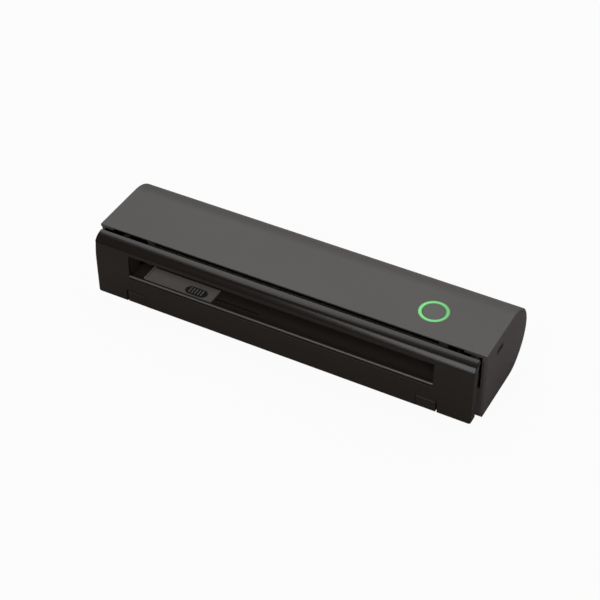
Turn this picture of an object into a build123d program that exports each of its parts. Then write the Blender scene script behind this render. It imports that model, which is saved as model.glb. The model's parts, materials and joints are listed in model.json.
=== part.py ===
from build123d import *
import math
import os

# A portable thermal printer for A4 sheets.
# Frame: X runs along the body, -Y is the front, +Z is up, and the origin lies under the middle of the
# whole object, on the surface that it stands on. All lengths are in millimetres.
# Most pieces are drawn in the body's own section: "depth" is measured back from the body's front face,
# and "height" up from the underside of its floor.

os.makedirs("parts", exist_ok=True)

# ---------------------------------------------------------------- driving dimensions
# Body
# A "drop" is measured down from the flat top, a "setback" ahead of the back, an "inset" from an end.
BODY_LENGTH = 270.0
BODY_HEIGHT = 49.4
BODY_DEPTH = 64.4
END_SPACE = 28.0  # from the mouth's end to the body's, for the frame and the gears
SHEET_CLEARANCE = 2.0  # each side of the sheet, in the mouth
UPPER_BACK_RADIUS = 23.0
HEEL_RADIUS = 20.0
HEEL_ANGLE = 58.6  # below the waist, where the heel runs into the back
WALL = 2.0
SEAM = 0.15  # gap between two mating mouldings
EDGE_RADIUS = 0.4
FRONT_WALL_DROP = 27.1
CAP_THICKNESS = 2.2
CORNER_RADIUS = 1.9  # upright front edges of the end caps
CORNER_STRIP = 3.0  # width kept there above the low front wall
RETURN_CLEARANCE = 2.4  # end caps' front returns, past the ends of the roller's shaft
TOP_EDGE = 0.8  # the top's front edge, thinned between the end caps
RAIL_HEIGHT = 3.0
RAIL_WIDTH = 1.2
RAIL_GAP = 0.2
RAIL_END = 4.8  # ahead of where the floor starts to curve up, as the two ends below
FOOT_STAND = 1.0  # how far the feet hold the body off the table
FOOT_RADIUS = 5.0
FOOT_RECESS = 1.0
FOOT_INSET = 19.0
FOOT_FRONT = 9.0
FOOT_END = 6.8

# Cover
COVER_PROUD = 12.7  # cover's front face ahead of the body's
COVER_INSET = 2.45  # cover's end inside the body's end
COVER_BOTTOM = 3.2
COVER_WALL = 2.0
COVER_END_DEPTH = 6.5  # front to back of the cover's end walls
COVER_EDGE_RADIUS = 1.2  # front edges at the cover's ends and bottom
COVER_CORNER_RADIUS = 1.5  # bottom corners, seen from the front
COVER_STRAIGHT_TOP_DROP = 19.4  # the face is upright up to here, then leans back
CAP_SEAM_DROP = 6.0
CAP_SEAM_SETBACK = 1.25  # face's lean at the seam
CAP_FRONT_SETBACK = 5.0  # where the shoulder runs into the flatter top band
CAP_FRONT_DROP = 2.1
CAP_FRONT_SLOPE = 25.0  # degrees, there
CAP_REAR_DEPTH = -3.1
CAP_REAR_DROP = 0.8
CAP_WALL = 1.6
CAP_CORNER_RADIUS = 1.2
CAP_REAR_RADIUS = 0.6
CAP_LIP = 2.1

# Mouth, lip and trough
LIP_PROUD = 0.2
LIP_THICKNESS = 1.7
LIP_UNDERCUT = 1.0  # from the lip's front back to the web's
LIP_RADIUS = 0.5
LIP_TOP_DROP = 23.5
LIP_BOTTOM_DROP = 25.1
MOUTH_BOTTOM_DROP = 26.3
MOUTH_TOP_DROP = 8.6
MOUTH_TOP_RADIUS = 0.7
MOUTH_BOTTOM_RADIUS = 0.6
TROUGH_FLOOR_BOTTOM_DROP = 25.9
TROUGH_FLOOR = 1.1
TROUGH_REAR_DEPTH = 3.0
TROUGH_WALL = 2.5
TROUGH_CEILING = 1.0
TROUGH_CEILING_GAP = 0.2
TROUGH_PANEL_GAP = 0.1
TROUGH_CEILING_REAR = -2.5

# Cover's hinge
HINGE_DEPTH = -8.4
HINGE_HEIGHT = 7.6
KNUCKLE_RADIUS = 4.2
KNUCKLE_EDGE = 1.2  # rounding of its top front edge
KNUCKLE_WIDTH = 13.0
KNUCKLE_INSET = 32.3  # middle of each knuckle
KNUCKLE_GAP = 0.3  # beside it, towards the middle
KNUCKLE_OUTER_GAP = 1.2  # and towards the end
ARM_THICKNESS = 5.0
TAB_LENGTH = 3.4  # bracket's tab, through the front wall
TAB_THICKNESS = 3.2
TAB_SIDE = 1.5
TAB_GAP = 0.1
HINGE_PIN_RADIUS = 1.25
LUG_WIDTH = 3.0
LUG_RADIUS = 4.0
NOTCH_TOP = 12.9
RUNNING_FIT = 0.05
PRESS_GAP = 0.02

# Platen roller
PLATEN_DEPTH = 4.0
PLATEN_DROP = 15.2
PLATEN_RADIUS = 5.0
PLATEN_END_GAP = 1.0
SHAFT_RADIUS = 2.5
SHAFT_END_LEFT = 1.0  # past the gear
SHAFT_END_RIGHT = 1.5  # past the bush
BUSH_RADIUS = 4.0
BUSH_FLANGE_RADIUS = 5.0
BUSH_FLANGE = 1.0
EAR_RADIUS = 6.0
NOTCH_CLEARANCE = 0.3

# Gears
MODULE = 0.6
PRESSURE_ANGLE = 20.0
ADDENDUM = 0.8  # stub teeth, in modules
DEDENDUM = 1.05
BACKLASH = 0.10  # taken from each tooth
PLATEN_TEETH = 22
IDLER_TEETH = 30
SMALL_WHEEL_TEETH = 16
LARGE_WHEEL_TEETH = 40
PINION_TEETH = 14
GEAR_WIDTH = 4.0
GEAR_LAYER_GAP = 1.4
GEAR_PLATE_GAP = 1.8
POST_RADIUS = 1.5
SHOULDER_RADIUS = 3.0
GROOVE_RADIUS = 1.1
CLIP_THICKNESS = 0.5
CLIP_RADIUS = 2.8
REDUCTION_SETBACK = 33.1
REDUCTION_DROP = 26.1
MOTOR_SETBACK = 18.6
MOTOR_DROP = 19.0

# Steel frame and motor
PLATE_SPACE = 8.0  # from the mouth's end to each side plate
PLATE_THICKNESS = 1.2
PLATE_FRONT = 3.0
PLATE_TOP_DROP = 3.0
RIGHT_PLATE_TOP_DROP = 6.4
RIGHT_PLATE_FRONT_LENGTH = 10.0
RIGHT_PLATE_REAR = 30.0
RIGHT_PLATE_GAP = 1.0  # under the main board
MOTOR_RADIUS = 10.0
MOTOR_LENGTH = 17.0
MOTOR_BOSS_RADIUS = 3.5
MOTOR_SHAFT_RADIUS = 1.0
MOTOR_EAR_REACH = 13.5
MOTOR_EAR_RADIUS = 2.5
MOTOR_EAR_THICKNESS = 0.8
MOTOR_EAR_ANGLE = 135.0
MOTOR_BEARING_WALL = 3.0
SCREW_RADIUS = 1.05
SCREW_HEAD_RADIUS = 2.0
SCREW_HEAD = 1.2
SCREW_HOLE_GAP = 0.05
SCREW_TIP = 0.6  # past what it grips

# Print head
HEAD_GAP = 0.3
HEAD_END_GAP = 1.0
CERAMIC_THICKNESS = 1.0
CERAMIC_BOTTOM_DROP = 18.9
HEATSINK_THICKNESS = 5.0
HEATSINK_BOTTOM_DROP = 24.8
HEATSINK_TOP_DROP = 8.4
DRIVER_COVER_THICKNESS = 1.1
DRIVER_COVER_HEIGHT = 2.6
DRIVER_COVER_SETBACK = 6.0
PIVOT_DEPTH = 13.0
PIVOT_DROP = 26.9
PIVOT_RADIUS = 1.5
PIVOT_LUG_RADIUS = 2.7
PIVOT_LUG_WIDTH = 8.0
PIVOT_PIN_END = 0.5
BEAM_DEPTH = 22.0
BEAM_THICKNESS = 1.2
BEAM_BOTTOM_DROP = 25.4
BEAM_TOP_DROP = 13.9
BEAM_FLANGE = 6.0
BEAM_SCREW_SETBACK = 2.4  # behind the beam
BEAM_SCREW_INSET = 3.0  # from its top and bottom
SPRING_DROP = 18.4
SPRING_RADIUS = 2.6
SPRING_WIRE_RADIUS = 0.35
SPRING_PITCH = 1.5
SPRING_SPACING = 70.0
SPRING_PEG_RADIUS = 1.7
SPRING_PEG = 1.2
HEAD_CONNECTOR_LEFT = 30.0
HEAD_CONNECTOR_LENGTH = 20.0
HEAD_CONNECTOR_DEPTH = 3.0
HEAD_CONNECTOR_HEIGHT = 2.2
CABLE_THICKNESS = 0.2
CABLE_GRIP = 1.5
CABLE_SIDE = 1.0
CABLE_BEND = 0.8
CABLE_STRAIGHT = 1.2
CABLE_END_GAP = 0.1

# Paper chute behind the trough
CHUTE_RADIUS = 6.3
CHUTE_WALL = 1.2
CHUTE_CENTRE_DEPTH = 2.4
CHUTE_CENTRE_DROP = 18.9
CHUTE_START_ANGLE = -82.0
CHUTE_END_ANGLE = -18.0
CHUTE_WEB_DEPTH = 5.0
CHUTE_WEB_TOP_DROP = 25.0
SENSOR_INSET = 32.0  # its middle, from the sheet's right-hand edge
SENSOR_LENGTH = 6.0
SENSOR_DEPTH = 2.7
SENSOR_HEIGHT = 4.9
SENSOR_TOP = 0.9  # below the web's top
WINDOW_LENGTH = 3.0
WINDOW_DEPTHS = (0.3, 2.1)
WINDOW_DROP = 2.0

# Main board, socket, switch
BOARD_TOP_DROP = 11.75
BOARD_THICKNESS = 1.6
BOARD_LEFT = 28.0
BOARD_INSET = 4.0
BOARD_FRONT = 18.5
BOARD_SETBACK = 14.4
BOARD_TAB_LENGTH = 13.0
BOARD_TAB_FRONT = 14.5
BOARD_POST_RADIUS = 2.5
BOARD_POST_GAP = 0.5
BOARD_SCREW_GRIP = 4.0
CHIP_SIDES = (10.0, 6.0)
CHIP_REACHES = (-9.4, 11.4)  # along X from the middle housing screw
CHIP_SETBACKS = (11.0, 10.0)  # ahead of the board's rear
CHIP_HEIGHT = 1.1
BOARD_CONNECTOR_FRONT = 23.0
BOARD_CONNECTOR_DEPTH = 4.0
BOARD_CONNECTOR_HEIGHT = 1.9
BOARD_CABLE_HEIGHT = 1.0
BOARD_POST_LEFT = 8.0  # from the board's edges
BOARD_POST_RIGHT = 9.0
BOARD_POST_FRONT = 11.5
BOARD_POST_REAR = 6.0
SOCKET_DEPTH = 20.7
SOCKET_WIDTH = 8.94
SOCKET_HEIGHT = 3.26
SOCKET_CORNER = 1.28
SOCKET_LENGTH = 7.4
SOCKET_SHELL = 0.3
SOCKET_RECESS = 1.2
SOCKET_HOLE_GAP = 0.55
SOCKET_BACK_WALL = 1.2
TONGUE_WIDTH = 6.69
TONGUE_THICKNESS = 0.7
TONGUE_SETBACK = 1.0
SWITCH_WIDTH = 6.0
SWITCH_HEIGHT = 3.5
PLUNGER_RADIUS = 1.6
PLUNGER_BORE = 2.0

# Power button and its light ring
BUTTON_INSET = 44.6
BUTTON_DEPTH = 22.25
BUTTON_RADIUS = 7.2
BUTTON_GAP = 0.2
BUTTON_LENGTH = 6.5
BUTTON_FLANGE_RADIUS = 8.4
BUTTON_FLANGE = 0.8
BUTTON_STEM = 0.5
BUTTON_TRAVEL = 0.6
RING_RADIUS = 9.67
RING_HOLE_GAP = 0.08
RING_LENGTH = 5.4
RING_FLANGE_RADIUS = 11.0
RING_FLANGE = 1.0
LIGHT_LEG_REACH = 9.8
LIGHT_LEG_WIDTH = 1.6
LED_HEIGHT = 0.8
LED_GAP = 0.3

# Sliding guide
GUIDE_INSET = 9.8  # from the mouth's end
GUIDE_LENGTH = 49.4
GUIDE_FRONT = -10.2
GUIDE_REAR = 2.2
GUIDE_THICKNESS = 0.9
GUIDE_GAP = 0.1
FENCE_HEIGHT = 1.2
FENCE_WIDTH = 1.0
GUIDE_TRAVEL_OUT = 9.0
GUIDE_TRAVEL_IN = 54.0
RUNNER_DEPTH = -5.5
RUNNER_LENGTH = 6.0
RUNNER_WIDTH = 1.5
RUNNER_FOOT = 1.0
RUNNER_GAP = 0.3
RUNNER_FLANGE = 1.0
GUIDE_EDGE_RADIUS = 0.3
PAD_REACH = 36.45  # from the guide's left end
PAD_DEPTH = -6.25
PAD_LENGTH = 15.5
PAD_WIDTH = 6.9
PAD_THICKNESS = 0.4
PAD_RIBS = 5
PAD_RIB_WIDTH = 0.9
PAD_RIB_HEIGHT = 0.3
PAD_RIB_INSET = 1.0

# Battery
CELL_RADIUS = 9.1
CELL_LENGTH = 65.0
CELL_SETBACK = 22.4
CELL_HEIGHT = 13.4
CELL_GAP = 0.2
TRAY_LEFT = -79.0
TRAY_WALL = 1.2
TRAY_FOOT_END = 0.8
CELL_EDGE_RADIUS = 0.8
CONTACT_THICKNESS = 0.4

# Housing screws
POST_TRAY_GAP = 9.0  # from the battery tray's ends
POST_INSET = 29.0
CORNER_POST_INSET = 10.0
CORNER_POST_DEPTH = 8.0
POST_SETBACK = 30.4
LEFT_POST_DEPTH = 30.0
BASE_POST_RADIUS = 3.9
TOP_POST_RADIUS = 3.2
BASE_SCREW_RECESS = 3.0
BASE_SCREW_HEAD_RADIUS = 2.6
BASE_SCREW_HEAD = 1.8
BASE_SCREW_GRIP = 8.0
BASE_SCREW_BORE_GAP = 0.3
BASE_SCREW_HEAD_GAP = 0.2
BASE_SCREW_SLOT = (3.2, 0.6, 0.6)  # length, width, depth
FOOT_GAP = 0.1
FOOT_CHAMFER = 0.3
PILOT_END = 1.0  # hole past the screw's tip

# ---------------------------------------------------------------- values worked out from them
HALF = BODY_LENGTH / 2
SHEET_WIDTH = BODY_LENGTH - 2 * (END_SPACE + SHEET_CLEARANCE)  # the widest sheet, A4
TROUGH_HALF = SHEET_WIDTH / 2 + SHEET_CLEARANCE
SENSOR_X = SHEET_WIDTH / 2 - SENSOR_INSET
COVER_HALF = HALF - COVER_INSET
WAIST = BODY_HEIGHT - UPPER_BACK_RADIUS
LOWER_BACK_RADIUS = HEEL_RADIUS + (WAIST - HEEL_RADIUS) / math.sin(math.radians(HEEL_ANGLE))
LOWER_BACK_DEPTH = BODY_DEPTH - LOWER_BACK_RADIUS
HEEL_DEPTH = LOWER_BACK_DEPTH + (LOWER_BACK_RADIUS - HEEL_RADIUS) * math.cos(math.radians(HEEL_ANGLE))
CAP_SEAM_HEIGHT = BODY_HEIGHT - CAP_SEAM_DROP
CAP_FRONT_HEIGHT = BODY_HEIGHT - CAP_FRONT_DROP
CAP_REAR_HEIGHT = BODY_HEIGHT - CAP_REAR_DROP
LIP_TOP = BODY_HEIGHT - LIP_TOP_DROP
LIP_BOTTOM = BODY_HEIGHT - LIP_BOTTOM_DROP
MOUTH_BOTTOM = BODY_HEIGHT - MOUTH_BOTTOM_DROP
MOUTH_TOP = BODY_HEIGHT - MOUTH_TOP_DROP
TROUGH_FLOOR_BOTTOM = BODY_HEIGHT - TROUGH_FLOOR_BOTTOM_DROP
PLATEN_HEIGHT = BODY_HEIGHT - PLATEN_DROP
PLATE_TOP = BODY_HEIGHT - PLATE_TOP_DROP
RIGHT_PLATE_TOP = BODY_HEIGHT - RIGHT_PLATE_TOP_DROP
CERAMIC_BOTTOM = BODY_HEIGHT - CERAMIC_BOTTOM_DROP
HEATSINK_BOTTOM = BODY_HEIGHT - HEATSINK_BOTTOM_DROP
HEATSINK_TOP = BODY_HEIGHT - HEATSINK_TOP_DROP
PIVOT_HEIGHT = BODY_HEIGHT - PIVOT_DROP
BEAM_BOTTOM = BODY_HEIGHT - BEAM_BOTTOM_DROP
BEAM_TOP = BODY_HEIGHT - BEAM_TOP_DROP
SPRING_HEIGHT = BODY_HEIGHT - SPRING_DROP
CHUTE_CENTRE_HEIGHT = BODY_HEIGHT - CHUTE_CENTRE_DROP
CHUTE_WEB_TOP = BODY_HEIGHT - CHUTE_WEB_TOP_DROP
BOARD_TOP = BODY_HEIGHT - BOARD_TOP_DROP
COVER_STRAIGHT_TOP = BODY_HEIGHT - COVER_STRAIGHT_TOP_DROP
FRONT_WALL_HEIGHT = BODY_HEIGHT - FRONT_WALL_DROP
RAIL_REAR = HEEL_DEPTH - RAIL_END
KNUCKLE_X = HALF - KNUCKLE_INSET
PLATE_X = TROUGH_HALF + PLATE_SPACE
BOARD_RIGHT = HALF - BOARD_INSET
BOARD_REAR = BODY_DEPTH - BOARD_SETBACK
BOARD_TAB_LEFT = BOARD_RIGHT - BOARD_TAB_LENGTH
BUTTON_X = HALF - BUTTON_INSET
GUIDE_LEFT = GUIDE_INSET - TROUGH_HALF
PAD_X = GUIDE_LEFT + PAD_REACH
CELL_DEPTH = BODY_DEPTH - CELL_SETBACK
TRAY_FOOT_REAR = HEEL_DEPTH - TRAY_FOOT_END
FOOT_DEPTHS = (FOOT_FRONT, HEEL_DEPTH - FOOT_END)
FOOT_PLACES = [(x, depth) for x in (FOOT_INSET - HALF, HALF - FOOT_INSET) for depth in FOOT_DEPTHS]
SPACER = CONTACT_THICKNESS + 2 * RUNNING_FIT
CELL_1 = TRAY_LEFT + TRAY_WALL + SPACER
CELL_2 = CELL_1 + CELL_LENGTH + SPACER
TRAY_RIGHT = CELL_2 + CELL_LENGTH + SPACER + TRAY_WALL
CELL_AXIS = (CELL_DEPTH, CELL_HEIGHT)
MIDDLE_POST = (TRAY_RIGHT + POST_TRAY_GAP, BODY_DEPTH - POST_SETBACK)
POST_PLACES = [
    (TRAY_LEFT - POST_TRAY_GAP, LEFT_POST_DEPTH),
    MIDDLE_POST,
    (HALF - POST_INSET, BODY_DEPTH - POST_SETBACK),
    (HALF - CORNER_POST_INSET, CORNER_POST_DEPTH),
]
BOARD_POST_XS = (BOARD_LEFT + BOARD_POST_LEFT, BOARD_RIGHT - BOARD_POST_RIGHT)
BOARD_POST_DEPTHS = (BOARD_FRONT + BOARD_POST_FRONT, BOARD_REAR - BOARD_POST_REAR)
BOARD_POSTS = [(x, depth) for x in BOARD_POST_XS for depth in BOARD_POST_DEPTHS]
BOARD_CHIPS = [
    (MIDDLE_POST[0] + reach, BOARD_REAR - setback, side)
    for reach, setback, side in zip(CHIP_REACHES, CHIP_SETBACKS, CHIP_SIDES)
]
BODY_FRONT = (COVER_PROUD + LIP_PROUD - BODY_DEPTH) / 2
TOP_INSIDE = BODY_HEIGHT - WALL
FACE = -COVER_PROUD
PANEL_REAR = FACE + COVER_WALL
EAR_OUTER = TROUGH_HALF + TROUGH_WALL
TROUGH_FLOOR_TOP = TROUGH_FLOOR_BOTTOM + TROUGH_FLOOR
PLATEN_AXIS = (PLATEN_DEPTH, PLATEN_HEIGHT)
HINGE_AXIS = (HINGE_DEPTH, HINGE_HEIGHT)
PIVOT_AXIS = (PIVOT_DEPTH, PIVOT_HEIGHT)
ROLLER_HALF = TROUGH_HALF - PLATEN_END_GAP
HEAD_HALF = TROUGH_HALF - HEAD_END_GAP
HEAD_FACE = PLATEN_DEPTH + PLATEN_RADIUS + HEAD_GAP
HEATSINK_FRONT = HEAD_FACE + CERAMIC_THICKNESS
HEATSINK_REAR = HEATSINK_FRONT + HEATSINK_THICKNESS
PLATE_OUTER = PLATE_X + PLATE_THICKNESS
BUSH_END = PLATE_OUTER + NOTCH_CLEARANCE
GEAR_A = (-PLATE_OUTER - GEAR_PLATE_GAP - GEAR_WIDTH, -PLATE_OUTER - GEAR_PLATE_GAP)
GEAR_B = (GEAR_A[0] - GEAR_LAYER_GAP - GEAR_WIDTH, GEAR_A[0] - GEAR_LAYER_GAP)
SHAFT_LEFT = GEAR_A[0] - SHAFT_END_LEFT
SHAFT_RIGHT = BUSH_END + SHAFT_END_RIGHT
RETURN_LEFT = SHAFT_LEFT - RETURN_CLEARANCE
RETURN_RIGHT = SHAFT_RIGHT + RETURN_CLEARANCE
GUIDE_BOTTOM = TROUGH_FLOOR_TOP + GUIDE_GAP
GUIDE_TOP = GUIDE_BOTTOM + GUIDE_THICKNESS
BOARD_BOTTOM = BOARD_TOP - BOARD_THICKNESS
BUTTON_PLACE = (BUTTON_X, BUTTON_DEPTH)
BUTTON_BOTTOM = BODY_HEIGHT - BUTTON_LENGTH
STEM_BOTTOM = BUTTON_BOTTOM - BUTTON_STEM
TAB_HALF = KNUCKLE_WIDTH / 2 - TAB_SIDE
TAB_BOTTOM = COVER_BOTTOM + (ARM_THICKNESS - TAB_THICKNESS) / 2
TAB_TOP = TAB_BOTTOM + TAB_THICKNESS
ARM_RISE = COVER_BOTTOM + ARM_THICKNESS - HINGE_HEIGHT  # arm's top above the hinge's axis
KNUCKLE_INNER = KNUCKLE_X - KNUCKLE_WIDTH / 2
KNUCKLE_OUTER = KNUCKLE_X + KNUCKLE_WIDTH / 2
NOTCH_INNER = KNUCKLE_INNER - KNUCKLE_GAP
NOTCH_OUTER = KNUCKLE_OUTER + KNUCKLE_OUTER_GAP
LIP_UNDER = CAP_REAR_HEIGHT - CAP_LIP
RING_BOTTOM = BODY_HEIGHT - RING_LENGTH


def section(x):
    """The plane of the body's cross-section at x: local x is depth, local y is height."""
    return Plane(origin=(x, BODY_FRONT, FOOT_STAND), x_dir=(0, 1, 0), z_dir=(1, 0, 0))


def level(height):
    """A horizontal plane at a height in the body: local x is X, local y is depth."""
    return Plane(origin=(0, BODY_FRONT, FOOT_STAND + height), x_dir=(1, 0, 0), z_dir=(0, 0, 1))


def upright(depth):
    """A vertical plane along the body at a depth: local x is X, local y is height, normal to the front."""
    return Plane(origin=(0, BODY_FRONT + depth, FOOT_STAND), x_dir=(1, 0, 0), z_dir=(0, -1, 0))


def finish(builder, label):
    """Name one finished piece and write it."""
    builder.part.label = label
    export_step(builder.part, f"parts/{label}.step")


def towards(start, distance, degrees):
    """The point at a distance and an angle from start, in the section."""
    angle = math.radians(degrees)
    return (start[0] + distance * math.cos(angle), start[1] + distance * math.sin(angle))


def bearing(start, end):
    """The angle in degrees from one point of the section to another."""
    return math.degrees(math.atan2(end[1] - start[1], end[0] - start[0]))


def body_outline(inset):
    """The body's D-shaped outline, moved in by inset: flat top and floor, round back, flat front."""
    top_depth = BODY_DEPTH - UPPER_BACK_RADIUS
    with BuildLine() as outline:
        Line((inset, inset), (HEEL_DEPTH, inset))
        CenterArc((HEEL_DEPTH, HEEL_RADIUS), HEEL_RADIUS - inset, -90, 90 - HEEL_ANGLE)
        CenterArc((LOWER_BACK_DEPTH, WAIST), LOWER_BACK_RADIUS - inset, -HEEL_ANGLE, HEEL_ANGLE)
        CenterArc((top_depth, WAIST), UPPER_BACK_RADIUS - inset, 0, 90)
        Line((top_depth, BODY_HEIGHT - inset), (inset, BODY_HEIGHT - inset))
        Line((inset, BODY_HEIGHT - inset), (inset, inset))
    make_face(outline.edges())


def rectangle(firsts, seconds, mode=Mode.ADD):
    """A rectangle in the current sketch between two local x values and two local y values."""
    with Locations(((firsts[0] + firsts[1]) / 2, (seconds[0] + seconds[1]) / 2)):
        Rectangle(abs(firsts[1] - firsts[0]), abs(seconds[1] - seconds[0]), mode=mode)


def slab(xs, depths, heights, mode=Mode.ADD):
    """A block between two X values, two depths and two heights."""
    with BuildSketch(section(min(xs))) as profile:
        rectangle(depths, heights)
    extrude(profile.sketch, amount=abs(xs[1] - xs[0]), mode=mode)


def rod(xs, centre, radius, mode=Mode.ADD):
    """A round bar along X between two X values, about a point of the section."""
    with BuildSketch(section(min(xs))) as profile:
        with Locations(centre):
            Circle(radius)
    extrude(profile.sketch, amount=abs(xs[1] - xs[0]), mode=mode)


def post(place, radius, heights, mode=Mode.ADD):
    """A round post at (X, depth) between two heights."""
    with BuildSketch(level(min(heights))) as profile:
        with Locations(place):
            Circle(radius)
    extrude(profile.sketch, amount=abs(heights[1] - heights[0]), mode=mode)


def both(side, near, far):
    """The X range from near to far on the left (-1) or the right (1)."""
    return (side * near, side * far)


# ---------------------------------------------------------------- gears
def tooth_half_angle(teeth, radius):
    """Half the angle that an involute tooth takes up at a radius, in radians."""
    pitch_radius = MODULE * teeth / 2
    pitch_angle = math.radians(PRESSURE_ANGLE)
    base_radius = pitch_radius * math.cos(pitch_angle)
    angle = math.acos(min(1.0, base_radius / radius))
    thickness = math.pi * MODULE / 2 - BACKLASH
    return thickness / (2 * pitch_radius) + math.tan(pitch_angle) - pitch_angle - math.tan(angle) + angle


def gear_wheel(xs, centre, teeth, phase):
    """A spur gear along X about a point of the section, with one tooth's middle at the phase in degrees."""
    pitch_radius = MODULE * teeth / 2
    root = pitch_radius - DEDENDUM * MODULE
    tip = pitch_radius + ADDENDUM * MODULE
    flank = max(root + 0.05, pitch_radius * math.cos(math.radians(PRESSURE_ANGLE)))
    radii = [root, flank, (flank + pitch_radius) / 2, pitch_radius, (pitch_radius + tip) / 2, tip]
    angles = [tooth_half_angle(teeth, max(radius, flank)) for radius in radii]
    points = []
    for index in range(teeth):
        middle = math.radians(phase + 360 * index / teeth)
        for radius, angle in zip(radii, angles):
            points.append((radius * math.cos(middle - angle), radius * math.sin(middle - angle)))
        for radius, angle in zip(reversed(radii), reversed(angles)):
            points.append((radius * math.cos(middle + angle), radius * math.sin(middle + angle)))
    with BuildSketch(section(min(xs))) as profile:
        with Locations(centre):
            Polygon(*points, align=None)
    extrude(profile.sketch, amount=abs(xs[1] - xs[0]))


def meshed_phase(driver_teeth, driver_phase, line_angle, teeth):
    """The phase that gives a gear a gap where the driver has a tooth, along the line of centres."""
    pitch = 360 / driver_teeth
    offset = (driver_phase - line_angle + pitch / 2) % pitch - pitch / 2
    return line_angle + 180 + 180 / teeth - offset * driver_teeth / teeth


# The roller leaves the idler square to its arm from the hinge, so its teeth draw straight out.
DRAW_ANGLE = math.degrees(math.atan2(HINGE_DEPTH - PLATEN_DEPTH, PLATEN_HEIGHT - HINGE_HEIGHT))
IDLER_AXIS = towards(PLATEN_AXIS, MODULE * (PLATEN_TEETH + IDLER_TEETH) / 2, DRAW_ANGLE)
REDUCTION_ANGLE = bearing(IDLER_AXIS, (BODY_DEPTH - REDUCTION_SETBACK, BODY_HEIGHT - REDUCTION_DROP))
REDUCTION_AXIS = towards(IDLER_AXIS, MODULE * (IDLER_TEETH + SMALL_WHEEL_TEETH) / 2, REDUCTION_ANGLE)
MOTOR_ANGLE = bearing(REDUCTION_AXIS, (BODY_DEPTH - MOTOR_SETBACK, BODY_HEIGHT - MOTOR_DROP))
MOTOR_AXIS = towards(REDUCTION_AXIS, MODULE * (LARGE_WHEEL_TEETH + PINION_TEETH) / 2, MOTOR_ANGLE)
MOTOR_SCREWS = [towards(MOTOR_AXIS, reach, MOTOR_EAR_ANGLE) for reach in (MOTOR_EAR_REACH, -MOTOR_EAR_REACH)]
IDLER_PHASE = meshed_phase(PLATEN_TEETH, DRAW_ANGLE, DRAW_ANGLE, IDLER_TEETH)
SMALL_PHASE = meshed_phase(IDLER_TEETH, IDLER_PHASE, REDUCTION_ANGLE, SMALL_WHEEL_TEETH)
PINION_PHASE = meshed_phase(LARGE_WHEEL_TEETH, MOTOR_ANGLE, MOTOR_ANGLE, PINION_TEETH)
BEAM_SCREW_DEPTH = BEAM_DEPTH + BEAM_THICKNESS + BEAM_SCREW_SETBACK
BEAM_SCREW_HEIGHTS = (BEAM_BOTTOM + BEAM_SCREW_INSET, BEAM_TOP - BEAM_SCREW_INSET)
BEAM_SCREWS = [(BEAM_SCREW_DEPTH, height) for height in BEAM_SCREW_HEIGHTS]


# ---------------------------------------------------------------- top housing
def half_shell(heights):
    """The part of the body's shell that lies between two heights, with its outer edges eased."""
    with BuildSketch(section(-HALF)) as outside:
        body_outline(0)
        rectangle((-BODY_DEPTH, 2 * BODY_DEPTH), heights, mode=Mode.INTERSECT)
    ends = extrude(outside.sketch, amount=BODY_LENGTH).faces().filter_by(Axis.X)
    joint = FOOT_STAND + (heights[0] if heights[0] > 0 else heights[1])
    fillet([edge for edge in ends.edges() if abs(edge.center().Z - joint) > EDGE_RADIUS], EDGE_RADIUS)
    with BuildSketch(section(-HALF)) as inside:
        body_outline(WALL)
    extrude(inside.sketch, amount=BODY_LENGTH, mode=Mode.SUBTRACT)


with BuildPart() as top_housing:
    half_shell((WAIST + SEAM, BODY_HEIGHT))
    slab((-HALF, HALF), (0, WALL), (WAIST, TOP_INSIDE), mode=Mode.SUBTRACT)
    slab((RETURN_LEFT, RETURN_RIGHT), (0, WALL), (WAIST, BODY_HEIGHT - TOP_EDGE), mode=Mode.SUBTRACT)
    for place in POST_PLACES:
        post(place, TOP_POST_RADIUS, (WAIST + SEAM, TOP_INSIDE + WALL / 2))
        pilot = (WAIST, WAIST + BASE_SCREW_GRIP + PILOT_END)
        post(place, SCREW_RADIUS + SCREW_HOLE_GAP, pilot, mode=Mode.SUBTRACT)
    for place in BOARD_POSTS:
        post(place, BOARD_POST_RADIUS, (BOARD_TOP, TOP_INSIDE + WALL / 2))
        pilot = (BOARD_TOP, BOARD_TOP + BOARD_SCREW_GRIP + PILOT_END)
        post(place, SCREW_RADIUS + SCREW_HOLE_GAP, pilot, mode=Mode.SUBTRACT)
    post(BUTTON_PLACE, RING_RADIUS + RING_HOLE_GAP, (TOP_INSIDE, BODY_HEIGHT), mode=Mode.SUBTRACT)
finish(top_housing, "top_housing")

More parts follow.
